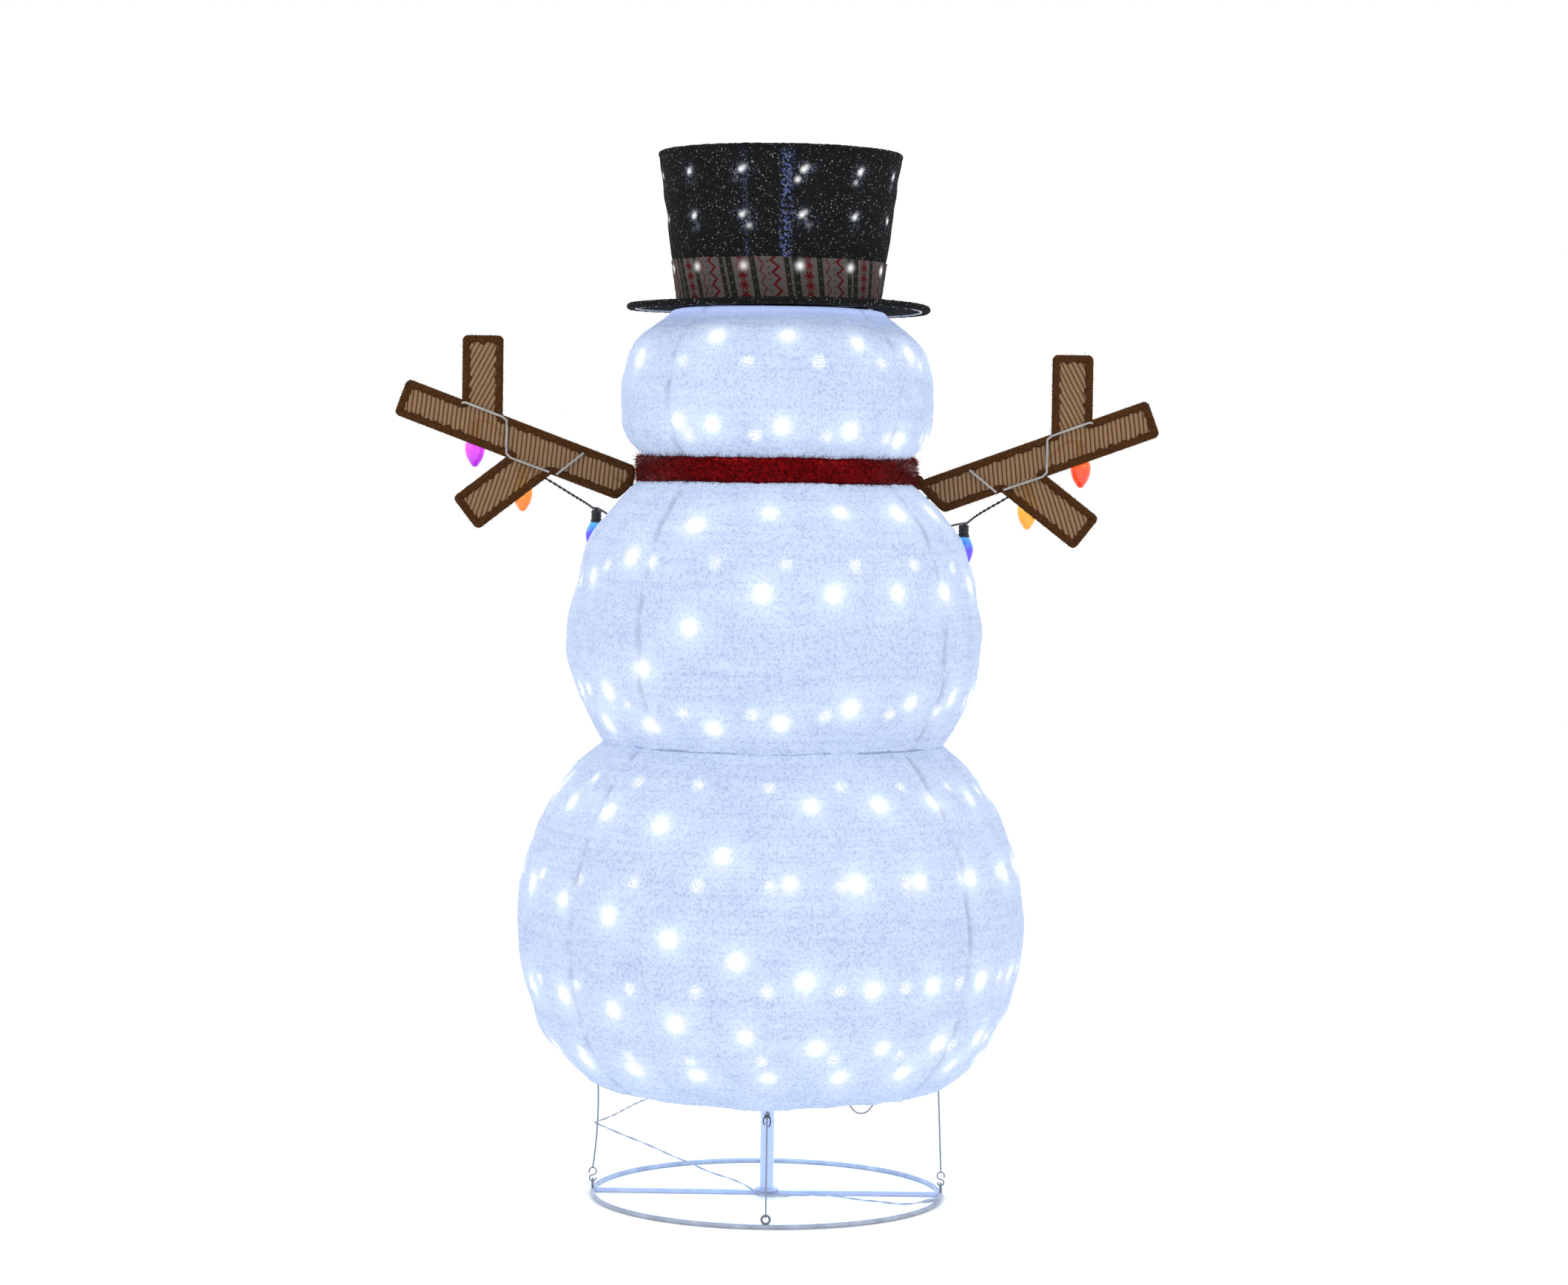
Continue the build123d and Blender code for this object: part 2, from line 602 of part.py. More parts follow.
hook_outer = hook_top + HOOK_WIRE / 2 + 0.3
tie_top = HEM_Z + 2.2
TIE_ROUTES = {
    "tie_cord_front": [(0, -HEM_RADIUS, tie_top), (0, -RING_RADIUS, hook_outer)],
    "tie_cord_back": [(0, HEM_RADIUS, tie_top), (0, RING_RADIUS, hook_outer)],
    "tie_cord_right": [(HEM_RADIUS, 0, tie_top), (RING_RADIUS, 0, hook_outer)],
    "tie_cord_left": [(-HEM_RADIUS, 0, tie_top), (-246.5, 0, 103), (-RING_RADIUS, 0, hook_outer)],
}
for name, route in TIE_ROUTES.items():
    cord_tube(name, route, CORD_WIDTH, tight=6.0)

DRAW_LOOP_ROUTE = [
    (117, -219, 171), (119, -223.5, 166), (127, -222, 159.5), (138, -216, 158.5), (147, -208, 165),
    (150.5, -199, 170.6),
]
cord_tube("hem_draw_loop", DRAW_LOOP_ROUTE, 3.0)

LEAD_ROUTE = [
    (-153, -188, 178), (-171, -150, 165), (-190, -109, 150), (-207, -70, 135), (-223, -35, 121), (-240, -13, 110),
    (-253, -6, 105), (-254.5, 3, 102), (-249, 9.5, 98.5), (-236, 11, 93), (-208, 7, 82), (-177, 5, 71),
    (-145, 7, 56), (-113, 3, 44), (-83, 6, 30), (-56, 2, 23), (-34, -9, 17), (-16, -23, 8), (6, -28, 1.8),
    (27, -21, 1.8), (48, -13, 1.8), (78, -10, 1.8), (108, -17, 1.8), (134, -40, 1.8), (160, -50, 1.8),
    (184, -64, 1.8), (206, -72, 1.8), (227, -78, 7.2),
]
LEAD_WIDTH = 3.0
cord_tube("power_lead", LEAD_ROUTE, LEAD_WIDTH)

lead_start, lead_next = Vector(*LEAD_ROUTE[0]), Vector(*LEAD_ROUTE[1])
lead_last, lead_end = Vector(*LEAD_ROUTE[-2]), Vector(*LEAD_ROUTE[-1])
with BuildPart() as lead_sleeve:
    with Locations(Plane(origin=lead_start, z_dir=lead_next - lead_start)):
        Cylinder(3.2, 14, align=(Align.CENTER, Align.CENTER, Align.MAX))
    chamfer(lead_sleeve.edges(), 0.8)
save(lead_sleeve.part, "lead_sleeve")

with BuildPart() as lead_connector:
    with Locations(Plane(origin=lead_end, z_dir=lead_end - lead_last)):
        Cone(2.2, 3.0, 6, align=(Align.CENTER, Align.CENTER, Align.MIN))
        with Locations((0, 0, 6)):
            Cylinder(3.0, 20, align=(Align.CENTER, Align.CENTER, Align.MIN))
        with Locations((0, 0, 20)):
            Cylinder(1.6, 6, align=(Align.CENTER, Align.CENTER, Align.MIN), mode=Mode.SUBTRACT)
save(lead_connector.part, "lead_connector")

LEFT_WIRE_ROUTE = [
    (-441.6, 19, 1130.2), (-425, 17, 1134), (-402, 12, 1112), (-385, 9, 1083), (-372.5, 8.8, 1066.3),
    (-352, 8.8, 1056), (-331, 10, 1044), (-310, 18, 1031), (-291, 32, 1019), (-276, 58, 1009), (-271, 92, 1003.5),
    (-269, 134, 1004.5),
]
RIGHT_WIRE_ROUTE = [
    (445, 19, 1111.7), (428, 17, 1116), (405, 12, 1096), (386, 9, 1068), (369, 8.8, 1049.7), (351, 8.8, 1038),
    (335, 10, 1027), (312, 20, 1013), (296, 34, 1003), (286, 60, 994), (282, 85, 989), (280, 112, 989.5),
]
SWAG_ROUTE = [
    (-269, 135.6, 1004.5), (-260, 160, 1000), (-238, 199, 982), (-212, 228, 973), (-176, 258, 965), (-132, 282, 956),
    (-86, 300, 947), (-42, 310, 942), (8, 313, 939), (58, 308, 941), (104, 295, 945), (150, 274, 952),
    (192, 246, 961), (226, 213, 971), (252, 178, 981), (271, 143, 988), (280, 113.8, 989.5),
]
cord_tube("left_arm_wire", LEFT_WIRE_ROUTE, WIRE_WIDTH)
cord_tube("right_arm_wire", RIGHT_WIRE_ROUTE, WIRE_WIDTH)
cord_tube("swag_wire", SWAG_ROUTE, WIRE_WIDTH)
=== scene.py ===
import math

import bmesh
import bpy
import numpy as np
from mathutils import Matrix, Vector


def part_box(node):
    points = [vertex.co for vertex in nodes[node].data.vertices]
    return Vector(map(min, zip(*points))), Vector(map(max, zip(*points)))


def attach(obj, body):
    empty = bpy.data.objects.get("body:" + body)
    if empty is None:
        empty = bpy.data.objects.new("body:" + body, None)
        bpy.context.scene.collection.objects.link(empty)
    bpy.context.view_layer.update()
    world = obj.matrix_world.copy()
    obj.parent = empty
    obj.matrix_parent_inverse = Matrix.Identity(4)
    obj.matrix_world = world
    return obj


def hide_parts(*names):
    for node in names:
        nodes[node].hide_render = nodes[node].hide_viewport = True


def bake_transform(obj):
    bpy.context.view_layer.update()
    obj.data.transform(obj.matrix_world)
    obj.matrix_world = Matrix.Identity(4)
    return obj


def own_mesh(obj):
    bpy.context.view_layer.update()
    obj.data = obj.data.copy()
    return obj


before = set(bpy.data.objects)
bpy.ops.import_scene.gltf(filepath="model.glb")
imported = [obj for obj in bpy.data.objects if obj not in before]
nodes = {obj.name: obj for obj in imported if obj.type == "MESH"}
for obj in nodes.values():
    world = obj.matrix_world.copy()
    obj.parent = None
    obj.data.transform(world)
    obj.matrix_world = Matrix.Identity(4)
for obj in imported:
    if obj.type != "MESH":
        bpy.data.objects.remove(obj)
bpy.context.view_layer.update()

MM = 0.001
rng = np.random.default_rng(7)
scene = bpy.context.scene
scene.view_settings.view_transform = "Standard"

# ---- camera, floor and light
IMAGE_WIDTH, FOCAL_PIXELS = 2119, 5000.0
camera_data = bpy.data.cameras.new("camera")
camera_data.sensor_width = 36.0
camera_data.lens = FOCAL_PIXELS * camera_data.sensor_width / IMAGE_WIDTH
camera_data.clip_end = 60.0
camera = bpy.data.objects.new("camera", camera_data)
scene.collection.objects.link(camera)
tilt, roll = math.radians(90 - 2.46), math.radians(0.8)
turn_x = np.array([[1, 0, 0], [0, math.cos(tilt), -math.sin(tilt)], [0, math.sin(tilt), math.cos(tilt)]])
turn_z = np.array([[math.cos(roll), -math.sin(roll), 0], [math.sin(roll), math.cos(roll), 0], [0, 0, 1]])
stance = np.eye(4)
stance[:3, :3] = turn_x @ turn_z
stance[:3, 3] = (0.0145, -5.405, 1.045)
camera.matrix_world = Matrix(stance.tolist())
scene.camera = camera

world = bpy.data.worlds.new("white_room")
scene.world = world
world.use_nodes = True
world.node_tree.nodes["Background"].inputs["Color"].default_value = (1.0, 1.0, 1.0, 1)
world.node_tree.nodes["Background"].inputs["Strength"].default_value = 1.0


def soft_light(name, place, target, size, watts, colour=(1.0, 1.0, 1.0)):
    data = bpy.data.lights.new(name, "AREA")
    data.shape, data.size, data.energy, data.color = "DISK", size, watts, colour
    lamp = bpy.data.objects.new(name, data)
    scene.collection.objects.link(lamp)
    lamp.location = place
    lamp.rotation_euler = (Vector(target) - Vector(place)).to_track_quat("-Z", "Y").to_euler()


soft_light("key", (-2.6, -3.6, 4.2), (0, 0, 0.7), 2.4, 60)
soft_light("fill", (3.2, -2.6, 3.0), (0, 0, 0.7), 2.4, 30)
soft_light("top", (0, 1.2, 4.6), (0, 0, 0.5), 3.0, 60)
soft_light("inside", (0, 0.09, 0.40), (0, 0.06, 0), 0.16, 2.2, (0.45, 0.68, 1.0))


# ---- shader helpers
class Shade:
    """A node material under construction. Every method returns a socket."""

    def __init__(self, name, rough=0.6, metal=0.0, spec=0.5):
        self.mat = bpy.data.materials.new(name)
        self.mat.use_nodes = True
        self.tree = self.mat.node_tree
        self.bsdf = self.tree.nodes["Principled BSDF"]
        self.bsdf.inputs["Roughness"].default_value = rough
        self.bsdf.inputs["Metallic"].default_value = metal
        self.bsdf.inputs["Specular IOR Level"].default_value = spec
        self.where = self.tree.nodes.new("ShaderNodeTexCoord").outputs["Object"]

    def put(self, target, value):
        if isinstance(value, bpy.types.NodeSocket):
            self.tree.links.new(value, target)
        elif isinstance(value, tuple) and len(value) == 3 and target.type == "RGBA":
            target.default_value = (*value, 1)
        else:
            target.default_value = value

    def set(self, **values):
        for name, value in values.items():
            self.put(self.bsdf.inputs[name.replace("_", " ")], value)
        return self

    def stretch(self, x, y, z):
        node = self.tree.nodes.new("ShaderNodeMapping")
        self.put(node.inputs["Vector"], self.where)
        node.inputs["Scale"].default_value = (x, y, z)
        return node.outputs["Vector"]

    def noise(self, scale, detail=3.0, rough=0.55, vector=None):
        node = self.tree.nodes.new("ShaderNodeTexNoise")
        self.put(node.inputs["Vector"], vector or self.where)
        node.inputs["Scale"].default_value = scale
        node.inputs["Detail"].default_value = detail
        node.inputs["Roughness"].default_value = rough
        return node.outputs["Fac"]

    def cells(self, scale, output="Distance"):
        node = self.tree.nodes.new("ShaderNodeTexVoronoi")
        self.put(node.inputs["Vector"], self.where)
        node.inputs["Scale"].default_value = scale
        return node.outputs[output]

    def attr(self, name, output="Fac"):
        node = self.tree.nodes.new("ShaderNodeAttribute")
        node.attribute_name = name
        return node.outputs[output]

    def math(self, how, a, b=0.0, clamp=False):
        node = self.tree.nodes.new("ShaderNodeMath")
        node.operation, node.use_clamp = how, clamp
        self.put(node.inputs[0], a)
        self.put(node.inputs[1], b)
        return node.outputs[0]

    def span(self, value, low, high, to_low=0.0, to_high=1.0):
        node = self.tree.nodes.new("ShaderNodeMapRange")
        names = ("Value", "From Min", "From Max", "To Min", "To Max")
        for key, v in zip(names, (value, low, high, to_low, to_high)):
            self.put(node.inputs[key], v)
        return node.outputs["Result"]

    def mix(self, fac, a, b):
        node = self.tree.nodes.new("ShaderNodeMix")
        node.data_type = "RGBA"
        self.put(node.inputs["Factor"], fac)
        self.put(node.inputs[6], a)
        self.put(node.inputs[7], b)
        return node.outputs[2]

    def bump(self, height, strength=0.4, distance=0.001):
        node = self.tree.nodes.new("ShaderNodeBump")
        node.inputs["Strength"].default_value = strength
        node.inputs["Distance"].default_value = distance
        self.put(node.inputs["Height"], height)
        self.put(self.bsdf.inputs["Normal"], node.outputs["Normal"])
        return self

    def quiet(self):
        """The glow lights nothing by sampling, so that the picture stays clean."""
        self.mat.cycles.emission_sampling = "NONE"
        return self.mat


def plush_material():
    s = Shade("plush", 0.95, spec=0.1)
    pile, seam = s.attr("pile"), s.attr("seam")
    core, halo, spark = s.attr("core"), s.attr("halo"), s.attr("spark")
    # Painted shade: the hollows of the curls, which the same noise bumps, and the creases between the pile's clumps
    # come out darker in colour and in glow; the patch and streak noises vary the tone at random.
    curl = s.noise(250, 4, 0.65)
    curl_shade = s.span(curl, 0.39, 0.51)
    patch = s.span(s.noise(24, 3, 0.6), 0.34, 0.66)
    streak = s.span(s.noise(7, 3, 0.6, s.stretch(1, 1, 24)), 0.34, 0.62)
    tone = s.math("ADD", s.math("MULTIPLY", curl_shade, 0.44), s.math("MULTIPLY", patch, 0.14))
    tone = s.math("ADD", tone, s.math("MULTIPLY", streak, 0.16))
    tone = s.math("ADD", tone, s.math("MULTIPLY", pile, 0.12))
    tone = s.math("ADD", tone, 0.17, clamp=True)
    # Painted shade along the seams: the colour turns greyer and the glow dimmer where the seam is sewn, broken up by
    # noise.
    seam_shade = s.math("MULTIPLY", seam, s.span(s.noise(30, 3), 0.42, 0.62), clamp=True)
    body = s.mix(tone, (0.165, 0.20, 0.315), (0.318, 0.352, 0.425))
    s.set(Base_Color=s.mix(seam_shade, body, (0.20, 0.22, 0.27)))
    light = s.mix(tone, (0.135, 0.175, 0.335), (0.305, 0.383, 0.52))
    # Painted light: under the brim the glow is raised to a bright blue, against the brim's shade.
    light = s.mix(s.attr("shade"), light, (0.46, 0.58, 1.0))
    light = s.mix(s.math("MULTIPLY", seam_shade, 0.7), light, (0.17, 0.2, 0.31))
    light = s.mix(s.math("MULTIPLY", halo, 0.5, clamp=True), light, (0.56, 0.66, 0.8))
    grains = s.span(s.noise(620, 1), 0.44, 0.56)
    twinkle = s.math("MULTIPLY", s.math("MULTIPLY", spark, 1.5), grains, clamp=True)
    light = s.mix(twinkle, light, (1.0, 0.98, 0.95))
    light = s.mix(core, light, (1.0, 1.0, 1.0))
    s.set(Emission_Color=light, Emission_Strength=1.0)
    s.bump(s.math("ADD", curl, s.noise(900, 2)), 0.5, 0.0012)
    return s.quiet()


def cloth_like(name, dark, light, scale, rough=0.9, spec=0.2, bump=0.5):
    s = Shade(name, rough, spec=spec)
    grain = s.noise(scale, 4, 0.6)
    s.set(Base_Color=s.mix(s.span(grain, 0.3, 0.7), dark, light))
    s.bump(grain, bump)
    return s


def paint(name, dark, light, rough, metal=0.0, glow=None):
    """Coated metal: a faint mottle in colour and gloss, and tiny pits."""
    s = Shade(name, rough, metal)
    mottle = s.noise(35, 4, 0.6)
    s.set(Base_Color=s.mix(s.span(mottle, 0.3, 0.7), dark, light))
    s.set(Roughness=s.span(s.noise(160, 3), 0.3, 0.7, rough - 0.08, rough + 0.12))
    # glow is painted light of the lamps falling on the metal.
    if glow:
        s.set(Emission_Color=glow, Emission_Strength=0.25)
    s.bump(s.noise(700, 2), 0.12, 0.0003)
    return s.mat


plush = plush_material()
# The stand is all one white-painted steel. Its copies for the cross bar, sockets and mast are painted bluish with the
# lamps' light, the mast also with a painted glow; the ring's copy is painted darker and greyer, for the shade outside
# the cover.
white_steel = paint("white_steel", (0.40, 0.45, 0.62), (0.5, 0.56, 0.74), 0.35)
mast_steel = paint("mast_steel", (0.36, 0.44, 0.64), (0.42, 0.5, 0.72), 0.32, glow=(0.5, 0.65, 1.0))
shaded_ring_metal = paint("shaded_ring_metal", (0.25, 0.275, 0.34), (0.40, 0.44, 0.52), 0.3)
zinc = paint("zinc_wire", (0.11, 0.115, 0.13), (0.22, 0.225, 0.25), 0.32, 0.6)
spring = paint("spring_wire", (0.5, 0.54, 0.62), (0.62, 0.66, 0.74), 0.4)
grip = paint("grip_plastic", (0.5, 0.53, 0.6), (0.58, 0.61, 0.68), 0.5)
dark_plastic = paint("dark_plastic", (0.006, 0.008, 0.01), (0.014, 0.018, 0.022), 0.42)
brace_wire = paint("brace_wire", (0.22, 0.21, 0.2), (0.38, 0.37, 0.36), 0.5)
lining = cloth_like("lining", (0.38, 0.42, 0.5), (0.5, 0.54, 0.62), 600).mat
cord_white = cloth_like("cord_white", (0.2, 0.22, 0.27), (0.36, 0.38, 0.45), 900).mat
lead_white = cloth_like("lead_white", (0.3, 0.32, 0.38), (0.46, 0.49, 0.56), 300, 0.45, 0.5, 0.1).mat
cable_black = cloth_like("cable_black", (0.006, 0.009, 0.009), (0.02, 0.026, 0.026), 500, 0.4, 0.5, 0.2).mat
felt_black = cloth_like("felt_black", (0.008, 0.008, 0.009), (0.035, 0.035, 0.04), 700, 0.95, 0.1, 0.7).mat
carrot = cloth_like("carrot_felt", (0.62, 0.13, 0.01), (0.9, 0.26, 0.03), 500, 0.9, 0.15, 0.7).mat
yarn = cloth_like("brown_yarn", (0.022, 0.008, 0.002), (0.085, 0.032, 0.008), 420, 0.9, 0.1, 0.8).mat


def lamp_material():
    s = Shade("lamp", 0.2)
    s.set(Base_Color=s.mix(s.noise(300), (0.8, 0.85, 0.95), (0.95, 0.97, 1.0)))
    s.set(Emission_Color=(0.8, 0.88, 1.0), Emission_Strength=1.5)
    return s.quiet()


def tinsel_material():
    s = Shade("red_tinsel", 0.4, 0.88, 0.2)
    pick = s.cells(330, "Color")
    split = s.tree.nodes.new("ShaderNodeSeparateColor")
    s.put(split.inputs[0], pick)
    s.set(Base_Color=s.mix(split.outputs[0], (0.045, 0.0008, 0.0013), (0.19, 0.0020, 0.0034)))
    s.set(Roughness=s.span(split.outputs[1], 0, 1, 0.2, 0.6))
    s.bump(split.outputs[2], 0.8, 0.001)
    return s.mat


def hat_material(name, strip=True):
    """Black knit with glitter specks, and where lamps stand behind it, their light in the loops."""
    s = Shade(name, 0.9, spec=0.06)
    knit = s.cells(520)
    speck = s.span(s.cells(380, "Color"), 0.66, 0.95)
    dots = s.math("MULTIPLY", speck, s.span(s.cells(380), 0.42, 0.14), clamp=True)
    colour = s.mix(s.span(knit, 0.1, 0.6), (0.0012, 0.0014, 0.0016), (0.0085, 0.009, 0.0095))
    gold = s.mix(s.noise(90, 1), (0.48, 0.49, 0.5), (0.5, 0.38, 0.2))
    s.set(Base_Color=s.mix(dots, colour, gold))
    if strip:
        holes = s.span(s.cells(250), 0.58, 0.28)
        patch = s.math("MULTIPLY", s.attr("strip"), holes, clamp=True)
        lit = s.mix(patch, (0.0008, 0.001, 0.0014), (0.10, 0.13, 0.32))
        # Painted glint: the glitter specks glow a little, as a painted sparkle.
        lit = s.mix(s.math("MULTIPLY", dots, 0.5), lit, (0.12, 0.12, 0.12))
        haze = s.math("MULTIPLY", s.attr("halo"), s.span(s.cells(260), 0.5, 0.1), clamp=True)
        lit = s.mix(s.math("MULTIPLY", haze, 0.6), lit, (0.5, 0.6, 1.0))
        lit = s.mix(s.attr("core"), lit, (1.0, 1.0, 1.0))
        s.set(Emission_Color=lit, Emission_Strength=1.0)
    s.bump(knit, 0.7, 0.0012)
    return s.quiet()


def band_material():
    s = Shade("band_cloth", 0.9, spec=0.1)
    weave = s.noise(900, 2)
    shade = s.mix(s.span(weave, 0.25, 0.75), (0.62, 0.62, 0.62), (1.0, 1.0, 1.0))
    node = s.tree.nodes.new("ShaderNodeMix")
    node.data_type, node.blend_type = "RGBA", "MULTIPLY"
    node.inputs["Factor"].default_value = 1.0
    s.put(node.inputs[6], s.attr("dye", "Color"))
    s.put(node.inputs[7], shade)
    s.set(Base_Color=node.outputs[2])
    s.set(Emission_Color=s.mix(s.attr("core"), (0, 0, 0), (1.0, 1.0, 1.0)), Emission_Strength=1.0)
    s.bump(weave, 0.5, 0.0006)
    return s.quiet()


def rib_material():
    s = Shade("brown_mesh", 0.9, spec=0.1)
    rib, bead = s.attr("rib"), s.attr("bead")
    # Painted shade: the colour darkens to near black in the furrows between the ribs and between the beads, where the
    # mesh lies deeper; the noise varies the yarn's tone at random.
    tone = s.math("MULTIPLY", s.span(rib, 0.06, 0.45), s.span(bead, 0.0, 1.0, 0.72, 1.0))
    tone = s.math("ADD", tone, s.span(s.noise(500, 3), 0.2, 0.8, -0.16, 0.16), clamp=True)
    s.set(Base_Color=s.mix(tone, (0.026, 0.008, 0.0012), (0.25, 0.137, 0.058)))
    s.set(Alpha=s.span(rib, 0.15, 0.6, 0.99, 0.96))
    s.bump(tone, 0.5, 0.001)
    return s.mat


def bulb_material(name, deep, bright, hot):
    """Lit coloured shell: paler by the lamp near the socket, deeper at the tip, with a faint swirl of the moulding."""
    s = Shade("bulb_" + name, 0.12)
    up = s.attr("rise")
    swirl = s.noise(60, 2)
    level = s.math("ADD", up, s.span(swirl, 0.3, 0.7, -0.12, 0.12), clamp=True)
    tint = s.mix(s.span(level, 0.0, 0.55), deep, bright)
    tint = s.mix(s.span(level, 0.55, 1.0), tint, hot)
    s.set(Base_Color=tuple(0.15 * (a + b) for a, b in zip(deep, bright)), Emission_Color=tint, Emission_Strength=0.9)
    s.set(Coat_Weight=0.5)
    return s.quiet()


# ---- mesh helpers
WAYS = np.array([(1, 1, 0), (-1, 1, 0), (1, -1, 0), (-1, -1, 0), (1, 0, 1), (-1, 0, 1), (1, 0, -1), (-1, 0, -1),
                 (0, 1, 1), (0, -1, 1), (0, 1, -1), (0, -1, -1)], float)


def ways_at(ix, iy, iz, seed):
    """A slope picked for each cell corner."""
    h = (ix * 374761393 + iy * 668265263 + iz * 2147483647 + seed * 974634777) & 0xFFFFFFFF
    h = ((h ^ (h >> 13)) * 1274126177) & 0xFFFFFFFF
    return WAYS[((h ^ (h >> 16)) & 0xFFFF) % 12]


def noise3(points, size, seed):
    """Smooth gradient noise from 0 to 1 with features of that size, at each point."""
    q = np.asarray(points) / size
    i = np.floor(q).astype(np.int64)
    f = q - i
    u = f * f * f * (f * (f * 6 - 15) + 10)
    total = 0.0
    for corner in np.ndindex(2, 2, 2):
        weight = np.prod(np.where(corner, u, 1 - u), axis=1)
        total = total + weight * (ways_at(*(i + corner).T, seed) * (f - corner)).sum(1)
    return np.clip(0.5 + 0.62 * total, 0, 1)


def billow(points, size, seed):
    """Rounded clumps of that size, 1 at their tops and 0 in the creases between them."""
    return np.clip(np.abs(2 * noise3(points, size, seed) - 1) * 2.6, 0, 1)


def piece(name, verts, faces, mat):
    mesh = bpy.data.meshes.new(name)
    mesh.from_pydata(np.asarray(verts).tolist(), [], faces.tolist() if isinstance(faces, np.ndarray) else faces)
    mesh.materials.append(mat)
    mesh.polygons.foreach_set("use_smooth", [True] * len(mesh.polygons))
    mesh.update()
    obj = bpy.data.objects.new(name, mesh)
    scene.collection.objects.link(obj)
    return obj


def joined(name, parts, mat):
    """One piece from several (verts, faces) parts."""
    faces, base = [], 0
    for v, f in parts:
        faces += [[base + k for k in face] for face in (f.tolist() if isinstance(f, np.ndarray) else f)]
        base += len(v)
    return piece(name, np.vstack([v for v, _ in parts]), faces, mat)


def mark(obj, name, values):
    attribute = obj.data.attributes.new(name, "FLOAT", "POINT")
    attribute.data.foreach_set("value", np.asarray(values, np.float32))


def settle(obj, body, slot, *replaced):
    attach(obj, body)
    if replaced:
        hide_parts(*replaced)
    return obj


def circle(count):
    """Even angles round a circle, in radians."""
    return np.linspace(0, 2 * np.pi, count, endpoint=False)


def run_of(line):
    """How far along a line each of its points is."""
    return np.concatenate([[0], np.cumsum(np.linalg.norm(np.diff(line, axis=0), axis=1))])


def off_bearing(bearing, degrees):
    """The angle from a bearing, in radians, either way round."""
    return (bearing - math.radians(degrees) + np.pi) % (2 * np.pi) - np.pi


def swept(reach, bearing, height):
    """Points at those distances from the mast, bearings from the camera's side, and heights."""
    return np.stack([reach * np.sin(bearing), -reach * np.cos(bearing), height], 1)


def grid_faces(rows, columns, wrap=True):
    r = np.arange(rows - 1)[:, None]
    c = np.arange(columns if wrap else columns - 1)[None, :]
    n = (c + 1) % columns
    return np.stack([r * columns + c, r * columns + n, (r + 1) * columns + n, (r + 1) * columns + c], -1).reshape(-1, 4)


def smooth_line(points, step):
    """An even run of points on a smooth curve through the given ones."""
    p = np.asarray(points, float)
    p = np.vstack([2 * p[0] - p[1], p, 2 * p[-1] - p[-2]])
    out = []
    for a, b, c, d in zip(p, p[1:], p[2:], p[3:]):
        t = np.linspace(0, 1, 24, endpoint=False)[:, None]
        out.append(0.5 * (2 * b + (c - a) * t + (2 * a - 5 * b + 4 * c - d) * t**2 + (3 * b - a - 3 * c + d) * t**3))
    return even(np.vstack([*out, p[-2:-1]]), step)


def even(points, step):
    """The same line with points an even step apart."""
    p = np.asarray(points, float)
    run = run_of(p)
    at = np.linspace(0, run[-1], max(2, round(run[-1] / step) + 1))
    return np.stack([np.interp(at, run, p[:, k]) for k in range(p.shape[1])], 1)


def turned(profile, columns):
    """A surface of revolution from (radius, z) rows: its vertices, unit normals and bearings in radians."""
    slope = np.gradient(profile, axis=0)
    out = np.stack([slope[:, 1], -slope[:, 0]], 1)
    out /= np.linalg.norm(out, axis=1)[:, None] + 1e-12
    b = circle(columns)
    s, c = np.sin(b), -np.cos(b)

    def grid(radial, height):
        places = [np.outer(radial, s), np.outer(radial, c), np.outer(height, np.ones_like(b))]
        return np.stack(places, -1).reshape(-1, 3)

    return grid(profile[:, 0], profile[:, 1]), grid(out[:, 0], out[:, 1]), np.tile(b, len(profile))


def frames(line):
    """Two steady normals along a line."""
    tangent = np.gradient(line, axis=0)
    tangent /= np.linalg.norm(tangent, axis=1)[:, None]
    side = np.cross(tangent[0], [0, 0, 1.0])
    if np.linalg.norm(side) < 0.2:
        side = np.cross(tangent[0], [0, 1.0, 0])
    sides = []
    for t in tangent:
        side = side - t * (side @ t)
        side = side / np.linalg.norm(side)
        sides.append(side)
    sides = np.array(sides)
    return sides, np.cross(tangent, sides)


def tube(line, radius, around):
    """A round tube along a line, with capped ends."""
    a, b = frames(line)
    turn = circle(around)
    rings = line[:, None] + radius * (
        np.cos(turn)[None, :, None] * a[:, None] + np.sin(turn)[None, :, None] * b[:, None])
    faces = grid_faces(len(line), around).tolist()
    faces += [list(range(around))[::-1], [(len(line) - 1) * around + k for k in range(around)]]
    return rings.reshape(-1, 3), faces


def strands(line, width, pitch):
    """The two strands of a twisted cord that follows a line."""
    a, b = frames(line)
    run = run_of(line)
    made = []
    for k in range(2):
        turn = 2 * np.pi * (run / pitch + k / 2)
        made.append(tube(line + width / 4 * (np.cos(turn)[:, None] * a + np.sin(turn)[:, None] * b), width / 4, 7))
    return made


def nurbs_line(name, route):
    """The points along the NURBS spline of a cord's route."""
    data = bpy.data.curves.new(name, "CURVE")
    data.dimensions = "3D"
    data.resolution_u = 12
    spline = data.splines.new("NURBS")
    spline.points.add(len(route) - 1)
    for point, co in zip(spline.points, route):
        point.co = (*co, 1.0)
    spline.order_u = 3
    spline.use_endpoint_u = True
    curve = bpy.data.objects.new(name, data)
    scene.collection.objects.link(curve)
    bpy.context.view_layer.update()
    mesh = bpy.data.meshes.new_from_object(curve)
    line = np.array([v.co for v in mesh.vertices])
    bpy.data.meshes.remove(mesh)
    bpy.data.objects.remove(curve)
    return line


LAMP_LENGTH_MAX = 0.02


